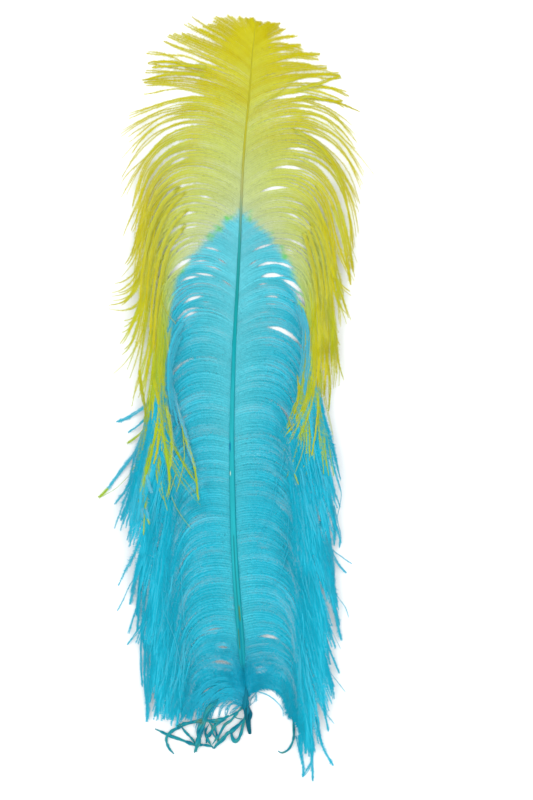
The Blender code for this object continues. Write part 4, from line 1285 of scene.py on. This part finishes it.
# Routes, then width and height in millimetres, and how dark: 0, 1 or 2
WET_STRANDS = (
    (((-58.2, -299.3), (-49.0, -297.0), (-39.8, -295.2), (-30.6, -294.2), (-23.2, -294.7), (-15.8, -293.3),
      (-9.4, -290.1)), 3.8, 2.6, 0),
    (((-9.4, -290.6), (-3.9, -287.3), (0.3, -284.6), (4.4, -279.5)), 2.5, 3.2, 0),
    (((1.6, -282.3), (-3.0, -288.7), (-7.6, -294.2), (-13.1, -297.9), (-15.8, -302.5), (-18.2, -307.5),
      (-21.1, -311.3), (-24.6, -316.1)), 2.7, 3.0, 0),
    (((5.3, -291.5), (3.6, -293.7), (0.2, -297.7), (-3.9, -301.7), (-7.3, -304.6), (-10.3, -305.7),
      (-13.1, -308.6), (-15.8, -312.1), (-20.0, -316.1), (-23.2, -320.0)), 3.8, 2.6, 0),
    (((5.3, -289.6), (4.4, -295.4), (3.0, -301.1), (1.3, -306.9), (-1.1, -311.5), (-3.6, -313.6),
      (-5.9, -311.5), (-7.0, -308.0), (-7.6, -304.4)), 3.2, 2.2, 0),
    (((-19.5, -274.9), (-23.2, -278.6), (-26.9, -282.2), (-30.3, -288.5), (-32.6, -295.4), (-35.5, -302.3),
      (-36.6, -308.0), (-37.9, -313.6), (-40.2, -322.8)), 5.2, 3.4, 0),
    (((-27.8, -295.2), (-24.6, -301.1), (-26.9, -306.9), (-29.6, -310.3), (-30.3, -314.9)), 3.1, 2.2, 0),
    (((-21.7, -294.2), (-22.3, -300.0), (-21.1, -305.7), (-19.7, -310.8), (-19.5, -314.5)), 2.7, 2.2, 0),
    (((3.9, -292.9), (-0.2, -292.6), (-4.8, -291.0)), 1.5, 2.6, 0),
    (((-77.5, -302.1), (-68.3, -306.2), (-60.9, -309.4), (-53.6, -312.2), (-47.1, -314.5), (-39.8, -316.8),
      (-31.5, -317.2), (-24.1, -318.6)), 2.8, 1.4, 0),
    (((-54.9, -297.5), (-50.8, -303.0), (-46.2, -308.0), (-42.5, -312.6), (-39.8, -317.2)), 2.6, 2.0, 0),
    (((-60.0, -325.1), (-65.1, -319.1), (-67.1, -311.7), (-64.1, -306.2), (-58.2, -302.1),
      (-50.8, -299.3)), 2.9, 1.8, 0),
    (((-41.1, -324.1), (-40.4, -320.0), (-39.3, -315.4)), 3.6, 1.8, 0),
    (((-23.7, -320.5), (-29.6, -310.8), (-31.0, -304.4), (-27.8, -297.9)), 2.2, 1.8, 0),
    (((-18.6, -313.6), (-24.1, -306.2), (-23.7, -300.7), (-17.7, -296.1), (-12.2, -293.3)), 2.0, 3.0, 0),
    (((6.2, -264.8), (6.1, -275.8), (5.9, -284.1), (6.8, -293.8)), 4.6, 5.0, 1),
    (((7.3, -268.5), (7.2, -275.8), (7.4, -284.1), (7.2, -292.4)), 3.2, 5.8, 1),
    (((5.8, -279.5), (6.2, -286.0), (6.8, -293.3)), 3.4, 6.4, 2),
    (((47.6, -275.8), (49.0, -286.9), (50.3, -306.2), (49.0, -314.2), (44.9, -320.9), (39.1, -324.1),
      (35.9, -322.6)), 2.1, 2.0, 0),
)


def wet_strand(route, width, height, dark, rng):
    """Three barbs wound round a route; the route and the width are in millimetres."""
    x, y, along = along_route(route, BARB_POINTS)
    ahead_x, ahead_y = np.gradient(x), np.gradient(y)
    size = np.hypot(ahead_x, ahead_y)
    side_x, side_y = ahead_y / size, -ahead_x / size
    lump = 1 + 0.22 * np.interp(along, np.arange(0, 0.2, 0.0025), rng.normal(0, 1, 80))
    ends = 1 - 0.65 * (1 - ease(along, 0.0, 0.010)) - 0.55 * ease(along, along[-1] - 0.008, along[-1])
    half = width / 2000 * lump * ends
    barbs = []
    for number in range(WOUND):
        wind = along / 0.011 + number * 2 * np.pi / WOUND + rng.uniform(0, 1)
        out, rise = 0.50 * half * np.sin(wind), 0.35 * half * np.cos(wind)
        z = np.maximum(height / 1000 + rise, 0.9 * half)
        barbs.append(
            {
                "points": np.column_stack([x + side_x * out, y + side_y * out, z]),
                "along": along,
                "root": QUILL_ROOT,
                "dip": np.full(BARB_POINTS, dark),
                "tint": rng.uniform(0.2, 0.8),
                "thin": 0 * along,
                "fringe": np.stack([0.45 * half + 0.0002, 0.45 * half + 0.0002]),
                "width": 2.0 + 0 * along,
                "thread": np.maximum(0.52 * half, 0.0002),
                "rings": WET_RINGS,
                "sides": WET_SIDES,
                "flat": 1.0,
            }
        )
    return barbs


wet_rng = np.random.default_rng(21)
wet = [barb for row in WET_STRANDS for barb in wet_strand(*row, wet_rng)]
dressed.append(join_barbs("wet_strands", wet, wet_barbs()))

# %% [markdown]
# ## The shaft
#
# The shaft is horn: nearly square in section, flat below and grooved on top, and it thins out to a fine
# thread at the tip. A ring of points is extruded step by step along its line, which is how a lofted tube is
# made with modelling operators. The quill end is a short, cut stub with a swelling on its right.

# %% The shaft
SHAFT_SIDES, SHAFT_STEP = 32, 0.003
GROOVE_DEPTH, GROOVE_WIDTH = 0.16, 0.12
SWELLING, SWELLING_AT, SWELLING_LENGTH = 0.0034, 0.6335, 0.0055
NUB, NUB_AT, NUB_LENGTH = 0.0007, 0.2925, 0.0018
QUILL_FROM = 0.64  # from here on the shaft is the bare quill
THICK, QUILL_THICK, CUT_THICK = 0.92, 1.15, 0.75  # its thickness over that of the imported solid


def shaft_section(angle, thickness, distance):
    """Across and up from the shaft's axis, of the outline's point at an angle from the right."""
    across = 0.5 * math.copysign(abs(math.cos(angle)) ** 0.7, math.cos(angle))
    up = 0.45 * math.copysign(abs(math.sin(angle)) ** 0.7, math.sin(angle))
    if up > 0:
        depth = GROOVE_DEPTH * float(0.25 + 0.75 * ease(distance, 0.42, 0.56))
        up -= depth * math.exp(-((across / GROOVE_WIDTH) ** 2))
    bump = SWELLING * math.exp(-(((distance - SWELLING_AT) / SWELLING_LENGTH) ** 2)) * max(math.cos(angle), 0)
    bump -= NUB * math.exp(-(((distance - NUB_AT) / NUB_LENGTH) ** 2)) * max(-math.cos(angle), 0) ** 3
    return across * thickness + bump, up * thickness


def build_shaft():
    shape = bmesh.new()
    station = shape.verts.layers.float.new("station")
    around = shape.verts.layers.float.new("around")
    ring = bmesh.ops.create_circle(shape, segments=SHAFT_SIDES, radius=1.0)["verts"]
    for vert in ring:
        vert[around] = math.atan2(vert.co.y, vert.co.x)
    edges = list(shape.edges)
    distances = list(np.arange(0.0, SHAFT_LENGTH, SHAFT_STEP)) + [SHAFT_LENGTH - 0.0004, SHAFT_LENGTH]
    for number, distance in enumerate(distances):
        if number:
            grown = bmesh.ops.extrude_edge_only(shape, edges=edges)["geom"]
            ring = [part for part in grown if isinstance(part, bmesh.types.BMVert)]
            edges = [part for part in grown if isinstance(part, bmesh.types.BMEdge)]
        x, y, z = (float(value) for value in shaft_place(distance))
        scale = QUILL_THICK if distance > QUILL_FROM else THICK
        scale = CUT_THICK if distance == SHAFT_LENGTH else scale
        thickness = float(smooth_rows(SHAFT, distance, 2)) * scale
        for vert in ring:
            across, up = shaft_section(vert[around], thickness, distance)
            vert.co = (x + across, y, max(z + up, 0.0002))
            vert[station] = distance
    bmesh.ops.holes_fill(shape, edges=[edge for edge in shape.edges if edge.is_boundary], sides=SHAFT_SIDES)
    bmesh.ops.recalc_face_normals(shape, faces=shape.faces)
    mesh = bpy.data.meshes.new("shaft")
    shape.to_mesh(mesh)
    shape.free()
    mesh.shade_smooth()
    made = bpy.data.objects.new("shaft", mesh)
    bpy.context.scene.collection.objects.link(made)
    print("shaft rings", len(distances), "faces", len(mesh.polygons))
    return made


shaft = build_shaft()

# %% [markdown]
# The horn takes the dye in its own way: ochre at the tip, a grey-olive stretch where the dyes meet, then
# teal. Its sides and its groove are painted darker, as painted shade, and fine fibres run along it. `patch`
# marks out that shade and the few spots and streaks by their distance from the tip and their angle round the
# shaft.

# %% The dyed horn
def within(tree, value, low, high, soft):
    """1 where a value is between two others, with soft ends."""
    rising = scaled(tree, value, low - soft, low)
    falling = scaled(tree, value, high, high + soft, 1.0, 0.0)
    return both(tree, rising, falling)


def patch(tree, colour, tone, places, along, across):
    """One tone between two distances from the tip and between two places across the shaft."""
    inside = both(tree, within(tree, places[0], *along, 0.0025), within(tree, places[1], *across, 0.12))
    return mixed(tree, inside, colour, tone)


def horn_dye_and_painted_shade():
    made, tree, shader = new_material("dyed horn with painted shade")
    station, around = attribute(tree, "station"), attribute(tree, "around")
    across = maths(tree, "COSINE", around, 0.0)
    fibres = noise(tree, 260.0, 3.0, 0.0, (6.0, 0.12, 6.0))
    place = maths(tree, "ADD", station, scaled(tree, fibres, 0.3, 0.7, -0.010, 0.010))
    colour = ramp(
        tree,
        scaled(tree, place, 0.0, 0.66),
        (
            (0.000, linear(163, 159, 36)),
            (0.167, linear(157, 155, 39)),
            (0.205, linear(150, 152, 71)),
            (0.235, linear(144, 150, 95)),
            (0.265, linear(92, 140, 124)),
            (0.300, linear(38, 136, 137)),
            (0.356, linear(24, 132, 133)),
            (0.411, linear(14, 140, 145)),
            (0.453, linear(10, 142, 151)),
            (0.523, linear(31, 154, 163)),
            (0.758, linear(33, 157, 168)),
            (0.803, linear(26, 149, 158)),
            (0.856, linear(24, 141, 152)),
            (0.909, linear(6, 132, 148)),
            (0.930, linear(0, 92, 122)),
            (0.960, linear(2, 92, 112)),
            (1.000, linear(0, 80, 94)),
        ),
    )
    spots = (station, across)
    # Painted shade: the right side, the left side and the groove are painted darker, the right side most
    colour = patch(tree, colour, linear(14, 138, 150), spots, (0.292, 0.600), (0.66, 1.2))
    colour = patch(tree, colour, linear(20, 148, 158), spots, (0.385, 0.600), (-1.2, -0.88))
    colour = patch(tree, colour, linear(22, 124, 132), spots, (0.470, 0.545), (-0.06, 0.02))
    colour = patch(tree, colour, linear(8, 132, 150), spots, (0.547, 0.600), (-0.12, 0.10))
    colour = patch(tree, colour, linear(8, 108, 148), spots, (0.385, 0.3905), (-1.2, -0.35))
    colour = patch(tree, colour, linear(170, 200, 190), spots, (0.4118, 0.4124), (-0.70, -0.35))
    colour = patch(tree, colour, linear(72, 122, 84), spots, (0.535, 0.546), (0.10, 0.30))
    colour = patch(tree, colour, linear(56, 110, 92), spots, (0.556, 0.572), (-0.40, -0.25))
    streaks = scaled(tree, fibres, 0.35, 0.65, 0.90, 1.12)
    colour = brightened(tree, colour, streaks)
    tree.links.new(colour, shader.inputs["Base Color"])
    tree.links.new(scaled(tree, fibres, 0.3, 0.7, 0.38, 0.55), shader.inputs["Roughness"])
    fine_relief(tree, shader, fibres, 0.25, 0.0002, 0.05)
    return made


shaft.data.materials.append(horn_dye_and_painted_shade())
dressed.append(shaft)
print(shaft.name, "finish", shaft.data.materials[0].name)

# %% [markdown]
# ## The stage
#
# A pale, matt table and soft light from large panels, as in a plain studio. The camera looks straight down
# on the plume.

# %% Table, light and camera
def floor_material():
    made, tree, shader = new_material("pale table")
    tree.links.new(
        ramp(tree, noise(tree, 3.0, 2.0), ((0.3, linear(239, 242, 243)), (0.7, linear(243, 246, 247)))),
        shader.inputs["Base Color"],
    )
    shader.inputs["Roughness"].default_value = 0.9
    return made


floor_shape = bmesh.new()
bmesh.ops.create_grid(floor_shape, x_segments=1, y_segments=1, size=4.0)
floor_mesh = bpy.data.meshes.new("table_top")
floor_shape.to_mesh(floor_mesh)
floor_shape.free()
floor_mesh.materials.append(floor_material())
floor = bpy.data.objects.new("table_top", floor_mesh)
bpy.context.scene.collection.objects.link(floor)
floor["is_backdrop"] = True


def panel(name, place, size, power):
    data = bpy.data.lights.new(name, "AREA")
    data.shape = "RECTANGLE"
    data.size, data.size_y = size
    data.energy = power
    made = bpy.data.objects.new(name, data)
    made.location = place
    made.rotation_euler = (-Vector(place)).to_track_quat("-Z", "Y").to_euler()
    bpy.context.scene.collection.objects.link(made)
    return made


panel("left_panel", (-1.6, 0.6, 1.9), (1.6, 2.2), 22)
panel("right_panel", (1.7, 0.2, 1.7), (1.4, 2.0), 14)

world = bpy.data.worlds.new("studio")
world.use_nodes = True
world.node_tree.nodes["Background"].inputs["Color"].default_value = (1.0, 1.0, 1.0, 1)
world.node_tree.nodes["Background"].inputs["Strength"].default_value = 1.15
bpy.context.scene.world = world
bpy.context.scene.view_settings.view_transform = "Standard"

VIEW_CENTRE = (0.0251, 0.0002)
VIEW_HEIGHT = 0.736
camera_data = bpy.data.cameras.new("camera")
camera_data.lens = 100
camera_data.sensor_width = 36
camera = bpy.data.objects.new("camera", camera_data)
camera.location = (*VIEW_CENTRE, VIEW_HEIGHT * camera_data.lens / camera_data.sensor_width)
camera.rotation_euler = (0, 0, 0)
bpy.context.scene.collection.objects.link(camera)
bpy.context.scene.camera = camera

# %% [markdown]
# ## Hand over
#
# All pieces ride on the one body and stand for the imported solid.

# %% Hand over
for piece in dressed:
    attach(piece, "root")
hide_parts("feather")

low, high = (list(corner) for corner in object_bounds())
print("visual box", low, high)
